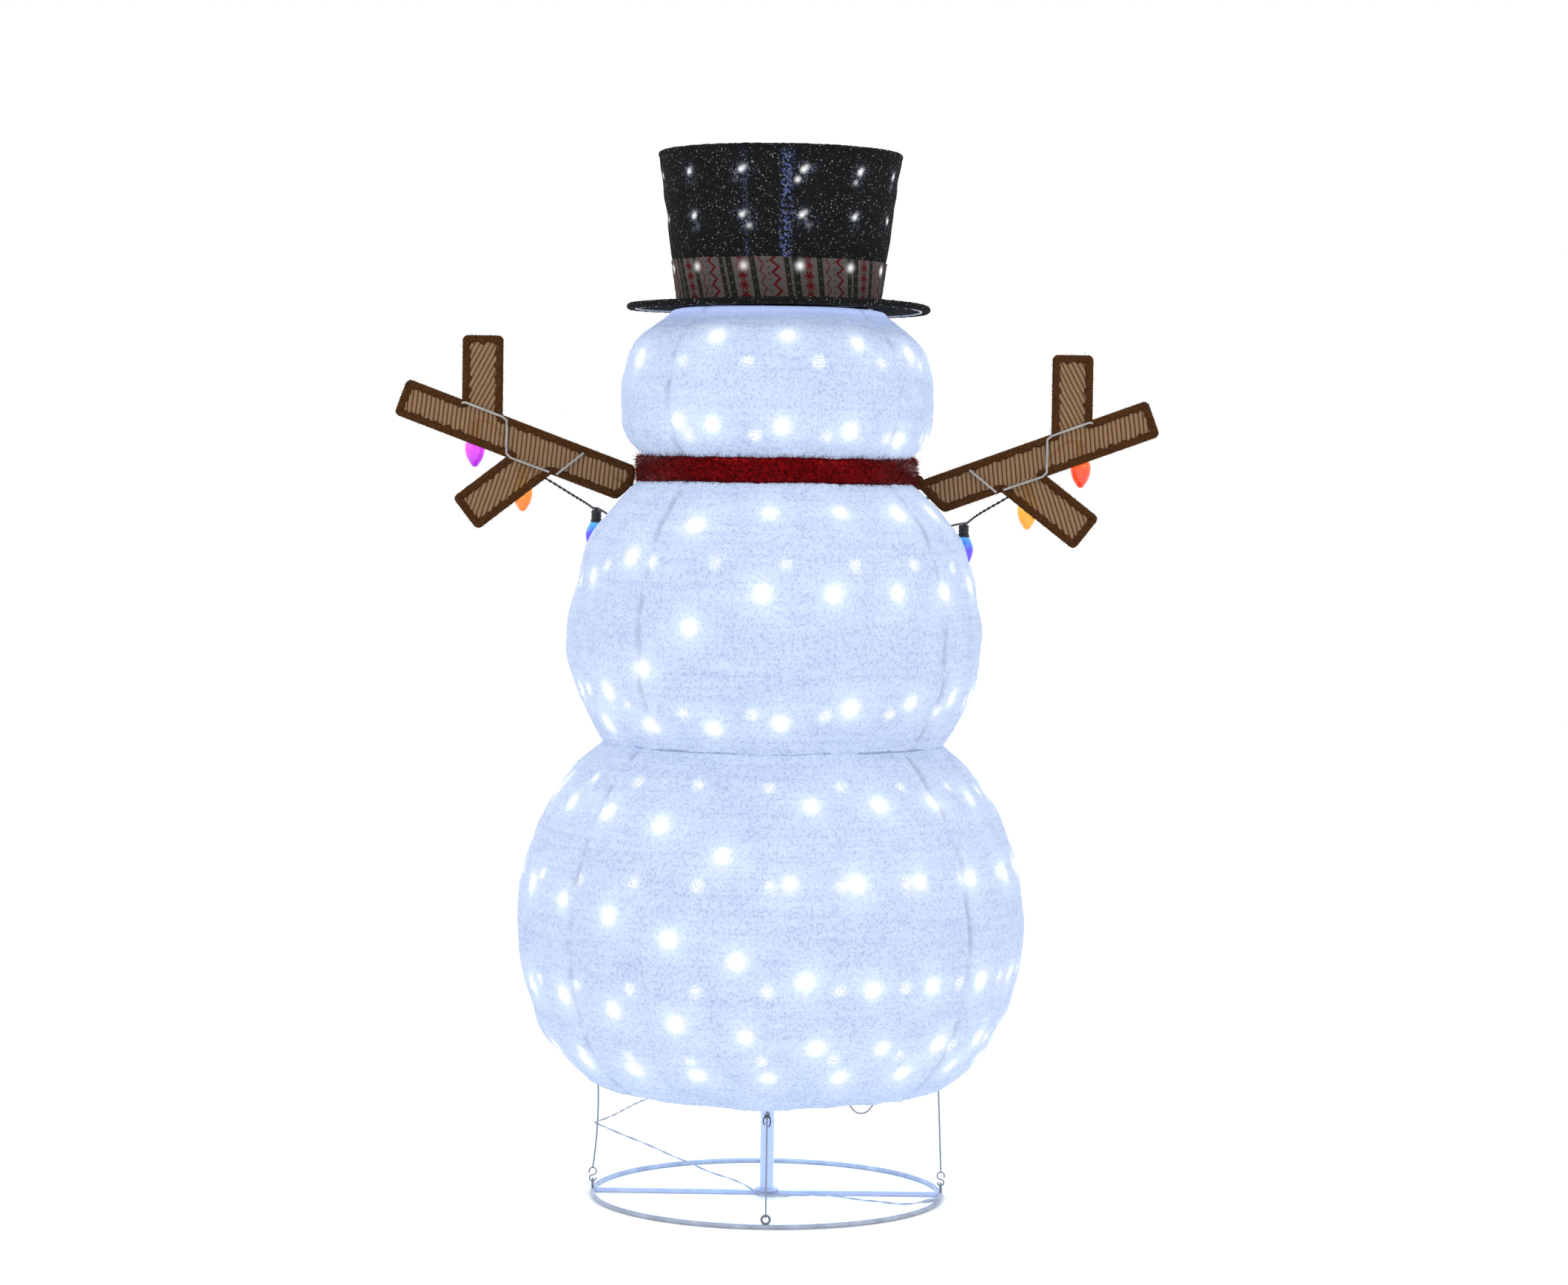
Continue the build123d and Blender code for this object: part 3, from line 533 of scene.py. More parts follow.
def islands(node):
    """The corner points of each loose part of a CAD node."""
    bm = bmesh.new()
    bm.from_mesh(nodes[node].data)
    bmesh.ops.remove_doubles(bm, verts=bm.verts, dist=1e-5)
    seen, found = set(), []
    for first in bm.verts:
        if first in seen:
            continue
        seen.add(first)
        queue, part = [first], []
        while queue:
            v = queue.pop()
            part.append(tuple(v.co))
            for e in v.link_edges:
                other = e.other_vert(v)
                if other not in seen:
                    seen.add(other)
                    queue.append(other)
        found.append(np.array(part))
    bm.free()
    return found


def lamps_of(node):
    """The middle of each lamp of a light string: its short loose parts."""
    short = [p for p in islands(node) if np.linalg.norm(np.ptp(p, axis=0)) < LAMP_LENGTH_MAX]
    return np.array([(p.min(0) + p.max(0)) / 2 for p in short])


def glow_at(points, spots, width, strength):
    """How much light falls on each point from round spots of that width, from 0 to 1."""
    total = np.zeros(len(points))
    for spot, power in zip(spots, strength):
        near = np.abs(points - spot).max(1) < 3 * width
        total[near] += power * np.exp(-(((points[near] - spot) ** 2).sum(1)) / width**2)
    return np.clip(total, 0, 1)


# ---- cords: control points as in the CAD, in metres
def mm(route):
    return [tuple(v * MM for v in p) for p in route]


HEM_RADIUS, RING_RADIUS = 250.0, 256.0
TIE_TOP = 172.2
TIE_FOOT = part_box("tie_cord_right")[0].z / MM
TIES = {
    "front": [(0, -HEM_RADIUS, TIE_TOP), (0, -RING_RADIUS, TIE_FOOT)],
    "back": [(0, HEM_RADIUS, TIE_TOP), (0, RING_RADIUS, TIE_FOOT)],
    "right": [(HEM_RADIUS, 0, TIE_TOP), (RING_RADIUS, 0, TIE_FOOT)],
    "left": [(-HEM_RADIUS, 0, TIE_TOP), (-246.5, 0, 103), (-RING_RADIUS, 0, TIE_FOOT)],
}
DRAW_LOOP = [
    (117, -219, 171), (119, -223.5, 166), (127, -222, 159.5), (138, -216, 158.5), (147, -208, 165),
    (150.5, -199, 170.6),
]
LEAD = [
    (-153, -188, 178), (-171, -150, 165), (-190, -109, 150), (-207, -70, 135), (-223, -35, 121), (-240, -13, 110),
    (-253, -6, 105), (-254.5, 3, 102), (-249, 9.5, 98.5), (-236, 11, 93), (-208, 7, 82), (-177, 5, 71),
    (-145, 7, 56), (-113, 3, 44), (-83, 6, 30), (-56, 2, 23), (-34, -9, 17), (-16, -23, 8), (6, -28, 1.8),
    (27, -21, 1.8), (48, -13, 1.8), (78, -10, 1.8), (108, -17, 1.8), (134, -40, 1.8), (160, -50, 1.8),
    (184, -64, 1.8), (206, -72, 1.8), (227, -78, 7.2),
]
ARM_WIRES = {
    "left": [
        (-441.6, 19, 1130.2), (-425, 17, 1134), (-402, 12, 1112), (-385, 9, 1083), (-372.5, 8.8, 1066.3),
        (-352, 8.8, 1056), (-331, 10, 1044), (-310, 18, 1031), (-291, 32, 1019), (-276, 58, 1009), (-271, 92, 1003.5),
        (-269, 134, 1004.5),
    ],
    "right": [
        (445, 19, 1111.7), (428, 17, 1116), (405, 12, 1096), (386, 9, 1068), (369, 8.8, 1049.7), (351, 8.8, 1038),
        (335, 10, 1027), (312, 20, 1013), (296, 34, 1003), (286, 60, 994), (282, 85, 989), (280, 112, 989.5),
    ],
}
SWAG = [
    (-269, 135.6, 1004.5), (-260, 160, 1000), (-238, 199, 982), (-212, 228, 973), (-176, 258, 965), (-132, 282, 956),
    (-86, 300, 947), (-42, 310, 942), (8, 313, 939), (58, 308, 941), (104, 295, 945), (150, 274, 952),
    (192, 246, 961), (226, 213, 971), (252, 178, 981), (271, 143, 988), (280, 113.8, 989.5),
]


def cord_line(name, route):
    """Even points along a cord: straight between two points, and a NURBS spline through more."""
    route = mm(route)
    line = np.array(route, float) if len(route) == 2 else nurbs_line(name, route)
    return even(line, 0.002)


def twisted_cord(name, route, width, pitch, mat, body, replaced):
    line = cord_line(name, route)
    obj = joined(name, strands(line, width, pitch), mat)
    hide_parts(replaced)
    if body:
        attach(obj, body)
    return obj, line


KNOT_Z, KNOT_RADIUS = 0.160, 0.0030
knot_middle = np.array([0, -HEM_RADIUS * MM - 0.0006, KNOT_Z])
knot_parts = []
turn = np.linspace(0, 2 * np.pi, 17)
for k in range(3):
    loop = np.stack([KNOT_RADIUS * np.cos(turn), KNOT_RADIUS * np.sin(turn),
                     0.0014 * np.sin(turn + k) + 0.0022 * (k - 1)], 1)
    knot_parts.append(tube(knot_middle + loop, 0.0011, 7))
tie_knot = joined("tie_knot", knot_parts, cord_white)
settle(tie_knot, "root", "cord")
tails = [
    smooth_line(knot_middle + np.array([
        [0.002, -0.003, 0], [0.004 * way, -0.004, -0.003], [0.005 * way, -0.004, -0.009],
        [0.003 * way, -0.004, -0.013 - 0.003 * (way > 0)]]), 0.001)
    for way in (-1, 1)
]
knot_tails = joined("tie_knot_tails", [tube(t, 0.0009, 6) for t in tails], dark_plastic)
settle(knot_tails, "root", "cord")

for side, route in TIES.items():
    twisted_cord(f"tie_{side}", route, 0.0034, 0.009, cord_white, "root", f"tie_cord_{side}")
twisted_cord("drawstring_loop", DRAW_LOOP, 0.003, 0.008, cord_white, "root", "hem_draw_loop")
twisted_cord("lead_cable", LEAD, 0.003, 0.055, lead_white, "root", "power_lead")
twisted_cord("chest_wire", SWAG, 0.004, 0.017, cable_black, "neck", "swag_wire")
for side, route in ARM_WIRES.items():
    wire, line = twisted_cord(f"{side}_bulb_wire", route, 0.004, 0.017, cable_black, None,
                              f"{side}_arm_wire")
    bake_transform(wire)

# ---- covers
HEM_Z, WAIST_Z, NECK_Z, BROW_Z = 170.0, 666.0, 1046.0, 1289.0
LOWER = [(258, HEM_Z), (299, 203), (337, 255), (363, 333), (371, 410), (360, 488), (331, 566), (288, 627),
         (248, WAIST_Z)]
MIDDLE = [(248, WAIST_Z + 0.6), (273, 709), (295, 761), (302, 828), (293.5, 885), (280, 943), (262, 979), (243, 1002),
          (221, 1025), (200, NECK_Z)]
HEAD = [(192.5, NECK_Z + 0.6), (193.5, 1078), (217, 1109), (228, 1160), (222, 1214), (202, 1254), (158, BROW_Z)]
LAMP_DEPTH = 20 * MM
PILE_STEP = 3.4 * MM
PILE_HEIGHT, SLACK_DEPTH, STREAK_DEPTH, SEAM_DEPTH, SKIN_DROP = 0.0020, 0.007, 0.0012, 0.0036, 0.0014
STREAK_PITCH, SEAM_WIDTH = 0.031, 0.0052
CORE_WIDTH, HALO_WIDTH, SPARK_WIDTH = 0.0105, 0.034, 0.0080
BRIM_UNDERSIDE_Z, BRIM_SHADE_DEPTH = 1.292, 0.030


def radius_on(outline, z):
    line = smooth_line(np.array(outline) * MM, 0.002)
    return np.interp(z, line[:, 1], line[:, 0])


def plush_ball(name, outline, seams, seed):
    """A lit plush cover: a sewn tube of cloth over hoops, with a curly pile, pinched seams and hems turned in."""
    line = smooth_line(np.array(outline) * MM, PILE_STEP)
    low, high, is_head = line[0], line[-1], outline is HEAD
    under = low + np.array([[-0.006, 0.022], [-0.006, 0.010], [-0.002, 0.0002]])
    over = high + np.array([[-0.002, -0.0002], [-0.008, -0.010]])
    if is_head:
        over = high + np.array([[-0.001, 0.0025], [-0.005, 0.0055], [-0.012, 0.0072], [-0.020, 0.0070]])
    line = np.vstack([under, line, over])
    columns = round(2 * np.pi * line[:, 0].max() / PILE_STEP)
    at, out, bearing = turned(line, columns)
    z = at[:, 2]
    radius = np.hypot(at[:, 0], at[:, 1])
    coarse, fine = billow(at, 0.0105, seed), billow(at, 0.0058, seed + 1)
    pile = np.clip(0.62 * coarse + 0.38 * fine, 0, 1)
    slack = noise3(at * [1, 1, 2.2], 0.11, seed + 2) - 0.5
    rows = np.abs((z / STREAK_PITCH) % 1 - 0.5) * 2
    streak = np.exp(-(((1 - rows) / 0.16) ** 2)) * noise3(at * [1, 1, 0.4], 0.05, seed + 3)
    seam = np.zeros(len(at))
    for s in seams:
        gap = off_bearing(bearing, s)
        drift = 0.006 * (noise3(np.stack([z, z * 0, z * 0], 1) + s, 0.06, seed + 4) - 0.5)
        seam += np.exp(-(((gap * radius + drift) / SEAM_WIDTH) ** 2))
    seam = np.clip(seam, 0, 1)
    skirt = np.clip(1 - np.abs(z - line[:, 1].min()) / 0.03, 0, 1) * 0.004 * (noise3(at, 0.045, seed + 5) - 0.5)
    lift = PILE_HEIGHT * pile + SLACK_DEPTH * slack - STREAK_DEPTH * streak - SEAM_DEPTH * seam - SKIN_DROP
    if is_head:
        lift *= np.clip((high[1] + 0.003 - z) / 0.012, 0.05, 1)
    at = at + out * lift[:, None]
    at[:, 2] += skirt
    obj = piece(name, at, grid_faces(len(line), columns), plush)
    lamps = lamps_of(name.replace("_plush", "_lights"))
    bearing_of = np.arctan2(lamps[:, 0], -lamps[:, 1])
    reach = np.hypot(lamps[:, 0], lamps[:, 1]) + LAMP_DEPTH
    spots = swept(reach, bearing_of, lamps[:, 2])
    power = 0.55 + 0.45 * np.random.default_rng(seed).random(len(spots))
    mark(obj, "core", glow_at(at, spots, CORE_WIDTH, 1.5 * power))
    mark(obj, "halo", glow_at(at, spots, HALO_WIDTH, power))
    shine = spots * [1, -1, 1] + [0, 0, 0.004]
    mark(obj, "spark", glow_at(at, shine, SPARK_WIDTH, 1.1 * power))
    mark(obj, "pile", np.clip(pile - 0.35 * streak, 0, 1))
    mark(obj, "seam", seam)
    # Painted light under the brim's underside: this mask brightens the head's glow there.
    brim_shade = np.clip(1 - np.abs(z - BRIM_UNDERSIDE_Z) / BRIM_SHADE_DEPTH, 0, 1) ** 1.5
    mark(obj, "shade", 0.75 * brim_shade * is_head)
    return obj


# each ball's outline in mm, seam bearings in degrees, body, the joint that flattens it, towards where, and how far
BALLS = {
    "lower": (LOWER, (-49.5, 49.5, 130.5, 229.5), "root", "waist_drop", 0.170, 0.30),
    "middle": (MIDDLE, (-39.4, 54.5, 140.6, 234.5), "waist", "neck_drop", 0.6662, 0.303),
    "head": (HEAD, (-42.7, 50.7, 137.3, 230.7), "neck", "collapse_mast", 1.080, 0.292),
}


def copy_of(node, name, mat):
    """A piece with a CAD node's own shape."""
    obj = bpy.data.objects.new(name, nodes[node].data.copy())
    obj.data.materials.clear()
    obj.data.materials.append(mat)
    scene.collection.objects.link(obj)
    return obj


lamp_mat = lamp_material()
for seed, (ball, (outline, seams, body, joint, anchor_z, keep)) in enumerate(BALLS.items()):
    cover = plush_ball(f"{ball}_plush", outline, seams, 10 * seed + 3)
    settle(cover, body, "plush", f"{ball}_cover")
    hoop = settle(copy_of(f"{ball}_hoops", f"{ball}_hoop_wires", spring), body, "spring_wire", f"{ball}_hoops")
    string = settle(copy_of(f"{ball}_lights", f"{ball}_light_string", lamp_mat), body, "lamp", f"{ball}_lights")
    for obj in (cover, hoop, string):
        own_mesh(obj)

# ---- scarf
tinsel = tinsel_material()


def slivers(places, normals, count, length, width, seed):
    """Thin bright strips that stand out of a surface at random: (verts, faces)."""
    draw = np.random.default_rng(seed)
    pick = draw.integers(0, len(places), count)
    at, out = places[pick], normals[pick]
    lean = draw.normal(size=(count, 3))
    way = out * 0.55 + lean * 0.55
    way /= np.linalg.norm(way, axis=1)[:, None]
    flip = (way * out).sum(1) < 0.05
    way[flip] += out[flip] * (0.3 - (way[flip] * out[flip]).sum(1))[:, None]
    across = np.cross(way, draw.normal(size=(count, 3)))
    across /= np.linalg.norm(across, axis=1)[:, None]
    size = length * (0.5 + 0.7 * draw.random(count))[:, None]
    half = width / 2
    start = at + draw.normal(size=(count, 3)) * 0.0012 - out * 0.001
    quad = np.stack([start - across * half, start + across * half, start + way * size + across * half * 0.5,
                     start + way * size - across * half * 0.5], 1)
    return quad.reshape(-1, 3), np.arange(4 * count).reshape(-1, 4)


scarf_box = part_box("scarf")
scarf_middle = (scarf_box[0].z + scarf_box[1].z) / 2
STRIP, STRIP_WIDTH, SCARF_COLUMNS = 0.0065, 0.0008, 420
scarf_r = scarf_box[1].x - 0.0035
turn = circle(30)
section = np.stack([scarf_r + 0.0038 * np.cos(turn),
                    scarf_middle + 0.0172 * np.sign(np.sin(turn)) * np.abs(np.sin(turn)) ** 0.8], 1)
section = np.vstack([section, section[:1]])
at, out, _ = turned(section, SCARF_COLUMNS)
wave = 0.0016 * (noise3(at * [1, 1, 0.3], 0.04, 91) - 0.5)
at = at + out * (0.0016 * noise3(at, 0.004, 90))[:, None]
at[:, 2] += 2 * wave
edges = np.abs(at[:, 2] - scarf_middle) > 0.014
hairs = slivers(at[edges], out[edges] * [1, 1, 2.5], 900, 0.012, 0.0003, 7)
wrap = (at, grid_faces(len(section), SCARF_COLUMNS))
scarf = joined("scarf_wrap", [wrap, slivers(at, out, 15000, STRIP, STRIP_WIDTH, 5), hairs], tinsel)
settle(scarf, "neck", "tinsel", "scarf")

# the knot and the two tails hang on the face side
knot_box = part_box("scarf_knot")
middle = np.array((knot_box[0] + knot_box[1]) / 2)
half = np.array((knot_box[1] - knot_box[0]) / 2)
u, v = np.meshgrid(np.linspace(0, np.pi, 34), circle(60), indexing="ij")
ball = np.stack([np.sin(u) * np.cos(v), np.sin(u) * np.sin(v), np.cos(u)], -1).reshape(-1, 3)
bulge = np.sign(ball) * np.abs(ball) ** 0.72
fold = 1 - 0.10 * np.abs(np.sin(4 * np.arctan2(ball[:, 2], ball[:, 0])))
knot_at = middle + bulge * half * 0.97 * fold[:, None]
knot = joined("scarf_knot_wrap", [(knot_at, grid_faces(34, 60)), slivers(knot_at, ball, 1800, STRIP, STRIP_WIDTH, 6)],
              tinsel)
settle(knot, "neck", "tinsel", "scarf_knot")

tail_parts = []
for k, (middle_x, tip) in enumerate(((24, 862), (-24, 890))):
    levels = np.arange(tip, 1041, 3.0)
    x = np.linspace(-18, 18, 19)
    gx, gz = np.meshgrid(x, levels)
    drape = 1.6 * np.sin(gx / 6.5 + gz / 60 + k)
    y = radius_on(MIDDLE, gz.ravel() * MM) / MM
    y = np.sqrt(np.maximum(y**2 - (middle_x + gx.ravel()) ** 2, 0)) + 9.0 + drape.ravel()
    y = np.minimum(y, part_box("scarf_tails")[1].y / MM + 3)
    front = np.stack([(middle_x + gx).ravel(), y, gz.ravel()], 1) * MM
    back = front - [0, 0.0042, 0]
    n, c = len(levels), len(x)
    out = np.tile([0, 1.0, 0], (n * c, 1))
    rim = [*range(c), *[r * c + c - 1 for r in range(1, n)], *[(n - 1) * c + q for q in range(c - 2, -1, -1)],
           *[r * c for r in range(n - 2, 0, -1)]]
    faces = grid_faces(n, c, wrap=False)
    side_faces = [[a, b, b + n * c, a + n * c] for a, b in zip(rim, rim[1:] + rim[:1])]
    shell = np.vstack([faces, faces[:, ::-1] + n * c, side_faces])
    strips = slivers(front, out, 2600, 0.0062, 0.0008, 20 + k)
    fringe_at = np.repeat(front[:c], 5, axis=0)
    fringe = slivers(fringe_at, np.tile([0, 0.2, -1.0], (len(fringe_at), 1)), 420, 0.013, 0.0009, 30 + k)
    tail_parts += [(np.vstack([front, back]), shell), strips, fringe]
scarf_ends = settle(joined("scarf_ends", tail_parts, tinsel), "neck", "tinsel", "scarf_tails")
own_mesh(scarf_ends)


# ---- face and buttons
def felt_copy(node, name, mat, ball, slot, size=0.0012):
    """A felt piece of a CAD node's form, refined and given a nap."""
    obj = copy_of(node, name, mat)
    bm = bmesh.new()
    bm.from_mesh(obj.data)
    bmesh.ops.remove_doubles(bm, verts=bm.verts, dist=1e-5)
    bmesh.ops.triangulate(bm, faces=bm.faces)
    for _ in range(4):
        long = [e for e in bm.edges if e.calc_length() > 0.0045]
        if not long:
            break
        bmesh.ops.subdivide_edges(bm, edges=long, cuts=1)
        bmesh.ops.triangulate(bm, faces=bm.faces)
    bm.normal_update()
    co = np.array([v.co for v in bm.verts])
    nap = size * (noise3(co, 0.004, 77) - 0.4)
    for v, d in zip(bm.verts, nap):
        v.co += v.normal * float(d)
    for f in bm.faces:
        f.smooth = True
    bm.to_mesh(obj.data)
    bm.free()
    obj.data.validate()  # drops doubled faces, which the mouth has
    body, joint, anchor_z, keep = BALLS[ball][2:]
    settle(obj, body, slot, node)
    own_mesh(obj)
    return obj


felt_copy("coal_eyes", "felt_eyes", felt_black, "head", "coal")
felt_copy("coal_mouth", "felt_mouth", felt_black, "head", "coal", 0.0008)
felt_copy("carrot_nose", "felt_nose", carrot, "head", "carrot", 0.0016)
felt_copy("coat_buttons", "felt_buttons", felt_black, "middle", "coal")

# ---- arms
ARM_ANGLE = math.radians(20.25)
ARM_HEIGHTS = {"left": 1037.8, "right": 1020.8}
ARM_ROOT_X, ARM_TIP_X, BAR_HALF = 206.0, 549.0, 27.5
TWIG_FALL, TWIG_ROOT_X, TWIG_HALF, TWIG_LENGTH = math.radians(37.75), 336.0, 29.5, 149
PRONG_LOW_X, PRONG_HIGH_X, PRONG_RISE = 400.5, 459.5, 134
SHOULDER_X, SHOULDER_Z = 206.5, 1053
CLOTH_STEP, RIB_PITCH = 1.6, 6.6
YARN_STEP, YARN_HALF, YARN_THICK, YARN_PITCH = 1.25, 4.6, 3.0, 4.1
brown_mesh = rib_material()


def arm_outline(side):
    """The corners of an arm on its +X side, in millimetres, from the shoulder's top and clockwise."""
    height = ARM_HEIGHTS[side]
    root = np.array([ARM_ROOT_X, height])
    along = np.array([math.cos(ARM_ANGLE), math.sin(ARM_ANGLE)])
    up = np.array([-along[1], along[0]])
    tip = root + along * (ARM_TIP_X - ARM_ROOT_X) / along[0]
    low_way = np.array([math.cos(TWIG_FALL), -math.sin(TWIG_FALL)])
    low_up = np.array([math.sin(TWIG_FALL), math.cos(TWIG_FALL)])

    def axis_z(x):
        return height + (x - ARM_ROOT_X) * math.tan(ARM_ANGLE)

    def top(x):
        return np.array([x, axis_z(x) + BAR_HALF / along[0]])

    def bottom(x):
        return np.array([x, axis_z(x) - BAR_HALF / along[0]])

    start = np.array([TWIG_ROOT_X, axis_z(TWIG_ROOT_X)])

    def meet(point):
        """Where a lower twig's edge through that point leaves the bar's lower edge."""
        a = np.array([low_way, -along]).T
        t, _ = np.linalg.solve(a, root - up * BAR_HALF - point)
        return point + low_way * t

    upper, lower = start + low_up * TWIG_HALF, start - low_up * TWIG_HALF
    crest = axis_z(430) + PRONG_RISE
    foot_x = 233 if side == "left" else 245
    climb = [(radius_on(MIDDLE, z * MM) / MM + 4, z) for z in (1018, 1030, 1041) if z > bottom(foot_x)[1] + 6]
    return np.array([
        top(SHOULDER_X), top(PRONG_LOW_X), (PRONG_LOW_X, crest), (PRONG_HIGH_X, crest), top(PRONG_HIGH_X),
        tip + up * BAR_HALF, tip - up * BAR_HALF, meet(upper), upper + low_way * TWIG_LENGTH,
        lower + low_way * TWIG_LENGTH, meet(lower), bottom(foot_x), *climb, (SHOULDER_X, SHOULDER_Z),
    ]), top, bottom


def inside(points, polygon):
    hit = np.zeros(len(points), bool)
    for a, b in zip(polygon, np.roll(polygon, -1, axis=0)):
        cross = (a[1] > points[:, 1]) != (b[1] > points[:, 1])
        with np.errstate(divide="ignore", invalid="ignore"):
            hit ^= cross & (points[:, 0] < (b[0] - a[0]) * (points[:, 1] - a[1]) / (b[1] - a[1]) + a[0])
    return hit


def inset_loop(polygon, amount):
    """The same closed outline drawn in by an amount; its corners run clockwise."""
    found = []
    for before, here, after in zip(np.roll(polygon, 1, axis=0), polygon, np.roll(polygon, -1, axis=0)):
        a, b = here - before, after - here
        a, b = a / np.linalg.norm(a), b / np.linalg.norm(b)
        na, nb = np.array([a[1], -a[0]]), np.array([b[1], -b[0]])
        mid = na + nb
        found.append(here + mid * amount / max(0.35, mid @ na))
    return np.array(found)


def arm_panel(side, sign):
    corners, top, bottom = arm_outline(side)
    low, high = corners.min(0), corners.max(0)
    gx, gz = np.meshgrid(np.arange(low[0], high[0], CLOTH_STEP), np.arange(low[1], high[1], CLOTH_STEP))
    shape = gx.shape
    spots = np.stack([gx.ravel(), gz.ravel()], 1)
    keep = inside(spots, inset_loop(corners, 2.5))
    in_upper = spots[:, 1] > np.array([top(x)[1] for x in spots[:, 0]]) - 6
    in_lower = spots[:, 1] < np.array([bottom(x)[1] for x in spots[:, 0]]) + 6
    lean = np.where(in_upper, math.radians(62), np.where(in_lower, math.radians(72), math.radians(84)))
    lean = np.pi - lean
    across = spots[:, 0] * np.sin(lean) - spots[:, 1] * np.cos(lean)
    along = spots[:, 0] * np.cos(lean) + spots[:, 1] * np.sin(lean)
    wobble = 1.2 * (noise3(np.stack([spots[:, 0], spots[:, 1], 0 * along], 1), 30, 40) - 0.5)
    rib = 0.5 + 0.5 * np.cos(2 * np.pi * (across + wobble) / RIB_PITCH)
    bead = 0.5 + 0.5 * np.cos(2 * np.pi * along / 3.0 + np.floor((across + wobble) / RIB_PITCH + 0.5) * 2.1)
    sag = 2.2 * (noise3(np.stack([spots[:, 0], spots[:, 1], 0 * along], 1), 70, 41) - 0.5)
    index = np.full(len(spots), -1)
    index[keep] = np.arange(keep.sum())
    index = index.reshape(shape)
    quads = np.stack([index[:-1, :-1], index[:-1, 1:], index[1:, 1:], index[1:, :-1]], -1).reshape(-1, 4)
    quads = quads[(quads >= 0).all(1)]
    y = 0.55 - 1.0 * rib + sag * 0.35 - 0.2 * bead
    verts = np.stack([sign * spots[:, 0], y, spots[:, 1]], 1)[keep] * MM
    obj = piece(f"{side}_arm_cloth", verts, quads, brown_mesh)
    mark(obj, "rib", rib[keep])
    mark(obj, "bead", bead[keep])
    settle(obj, f"{side}_arm", "arm_mesh", f"{side}_arm_mesh")
    return corners


def rounded_loop(corners, radius, step):
    """A closed outline with its corners rounded, as an even run of points."""
    points = []
    for before, here, after in zip(np.roll(corners, 1, axis=0), corners, np.roll(corners, -1, axis=0)):
        a, b = before - here, after - here
        cut = min(radius, 0.4 * np.linalg.norm(a), 0.4 * np.linalg.norm(b))
        p, q = here + a / np.linalg.norm(a) * cut, here + b / np.linalg.norm(b) * cut
        t = np.linspace(0, 1, 7)[:, None]
        points.append((1 - t) ** 2 * p + 2 * t * (1 - t) * here + t**2 * q)
    points = np.vstack(points)
    return even(np.vstack([points, points[:1]]), step)[:-1]


def arm_binding(side, sign, corners):
    """Brown yarn wound tightly round the arm's frame, with its loops on both edges."""
    loop = rounded_loop(inset_loop(corners, YARN_HALF), 3.0, YARN_STEP)
    n, around = len(loop), 16
    way = np.roll(loop, -1, axis=0) - np.roll(loop, 1, axis=0)
    way /= np.linalg.norm(way, axis=1)[:, None]
    side_way = np.stack([way[:, 1], -way[:, 0]], 1)
    turn = circle(around)
    run = np.arange(n) * YARN_STEP
    grid_run, grid_turn = np.meshgrid(run, turn, indexing="ij")
    ragged = noise3(np.stack([run, 0 * run, 0 * run], 1), 9.0, 50)[:, None]
    yarn_bump = 0.55 * np.abs(np.sin(np.pi * (grid_run / YARN_PITCH + grid_turn / (2 * np.pi))))
    wide = YARN_HALF + 4.2 * np.clip(2 * ragged - 0.6, 0, 1) * (np.cos(grid_turn) > 0) + yarn_bump
    thick = YARN_THICK + yarn_bump
    centre = np.stack([loop[:, 0], 0 * run, loop[:, 1]], 1)[:, None]
    inward = np.stack([side_way[:, 0], 0 * run, side_way[:, 1]], 1)[:, None]
    verts = centre + (np.cos(grid_turn) * wide)[..., None] * inward
    verts = verts + (np.sin(grid_turn) * thick)[..., None] * np.array([0, 1.0, 0])
    verts = verts.reshape(-1, 3)
    verts += 0.7 * (noise3(verts, 2.6, 51)[:, None] - 0.5)
    verts[:, 0] *= sign
    faces = grid_faces(n + 1, around) % (n * around)
    outward = np.cos(grid_turn)[..., None] * inward + np.sin(grid_turn)[..., None] * np.array([0, 1.0, 0])
    outward = outward.reshape(-1, 3) * [sign, 1, 1]
    hair = slivers(verts * MM, outward, 2600, 0.0032, 0.0005, 60)
    obj = joined(f"{side}_arm_binding", [(verts * MM, faces), hair], yarn)
    settle(obj, f"{side}_arm", "arm_wire", f"{side}_arm_frame")


def arm_braces(side, sign):
    """The bent wires across an arm's camera side, and the prong that goes into the shoulder's socket."""
    def rise(x):
        return ARM_HEIGHTS[side] + (x - ARM_ROOT_X) * math.tan(ARM_ANGLE)

    bend = np.array([(460, 24), (456, 27), (401, 27), (394, 24), (394, -24), (388, -28), (331, -27)], float)
    spur = np.array([(321, -27), (281, 20)], float)
    parts = []
    for path in (bend, spur):
        line = np.array([[sign * x, -4.6, rise(x) + dz] for x, dz in path]) * MM
        parts.append(tube(even(line, 0.003), 0.0017, 8))
    prong = np.array([[sign * x, 4.0, rise(x)] for x in (150, 238)]) * MM
    parts.append(tube(even(prong, 0.006), 0.0025, 10))
    settle(joined(f"{side}_arm_braces", parts, brace_wire), f"{side}_arm", "arm_wire")


for side, sign in (("left", -1), ("right", 1)):
    arm_binding(side, sign, arm_panel(side, sign))
    arm_braces(side, sign)

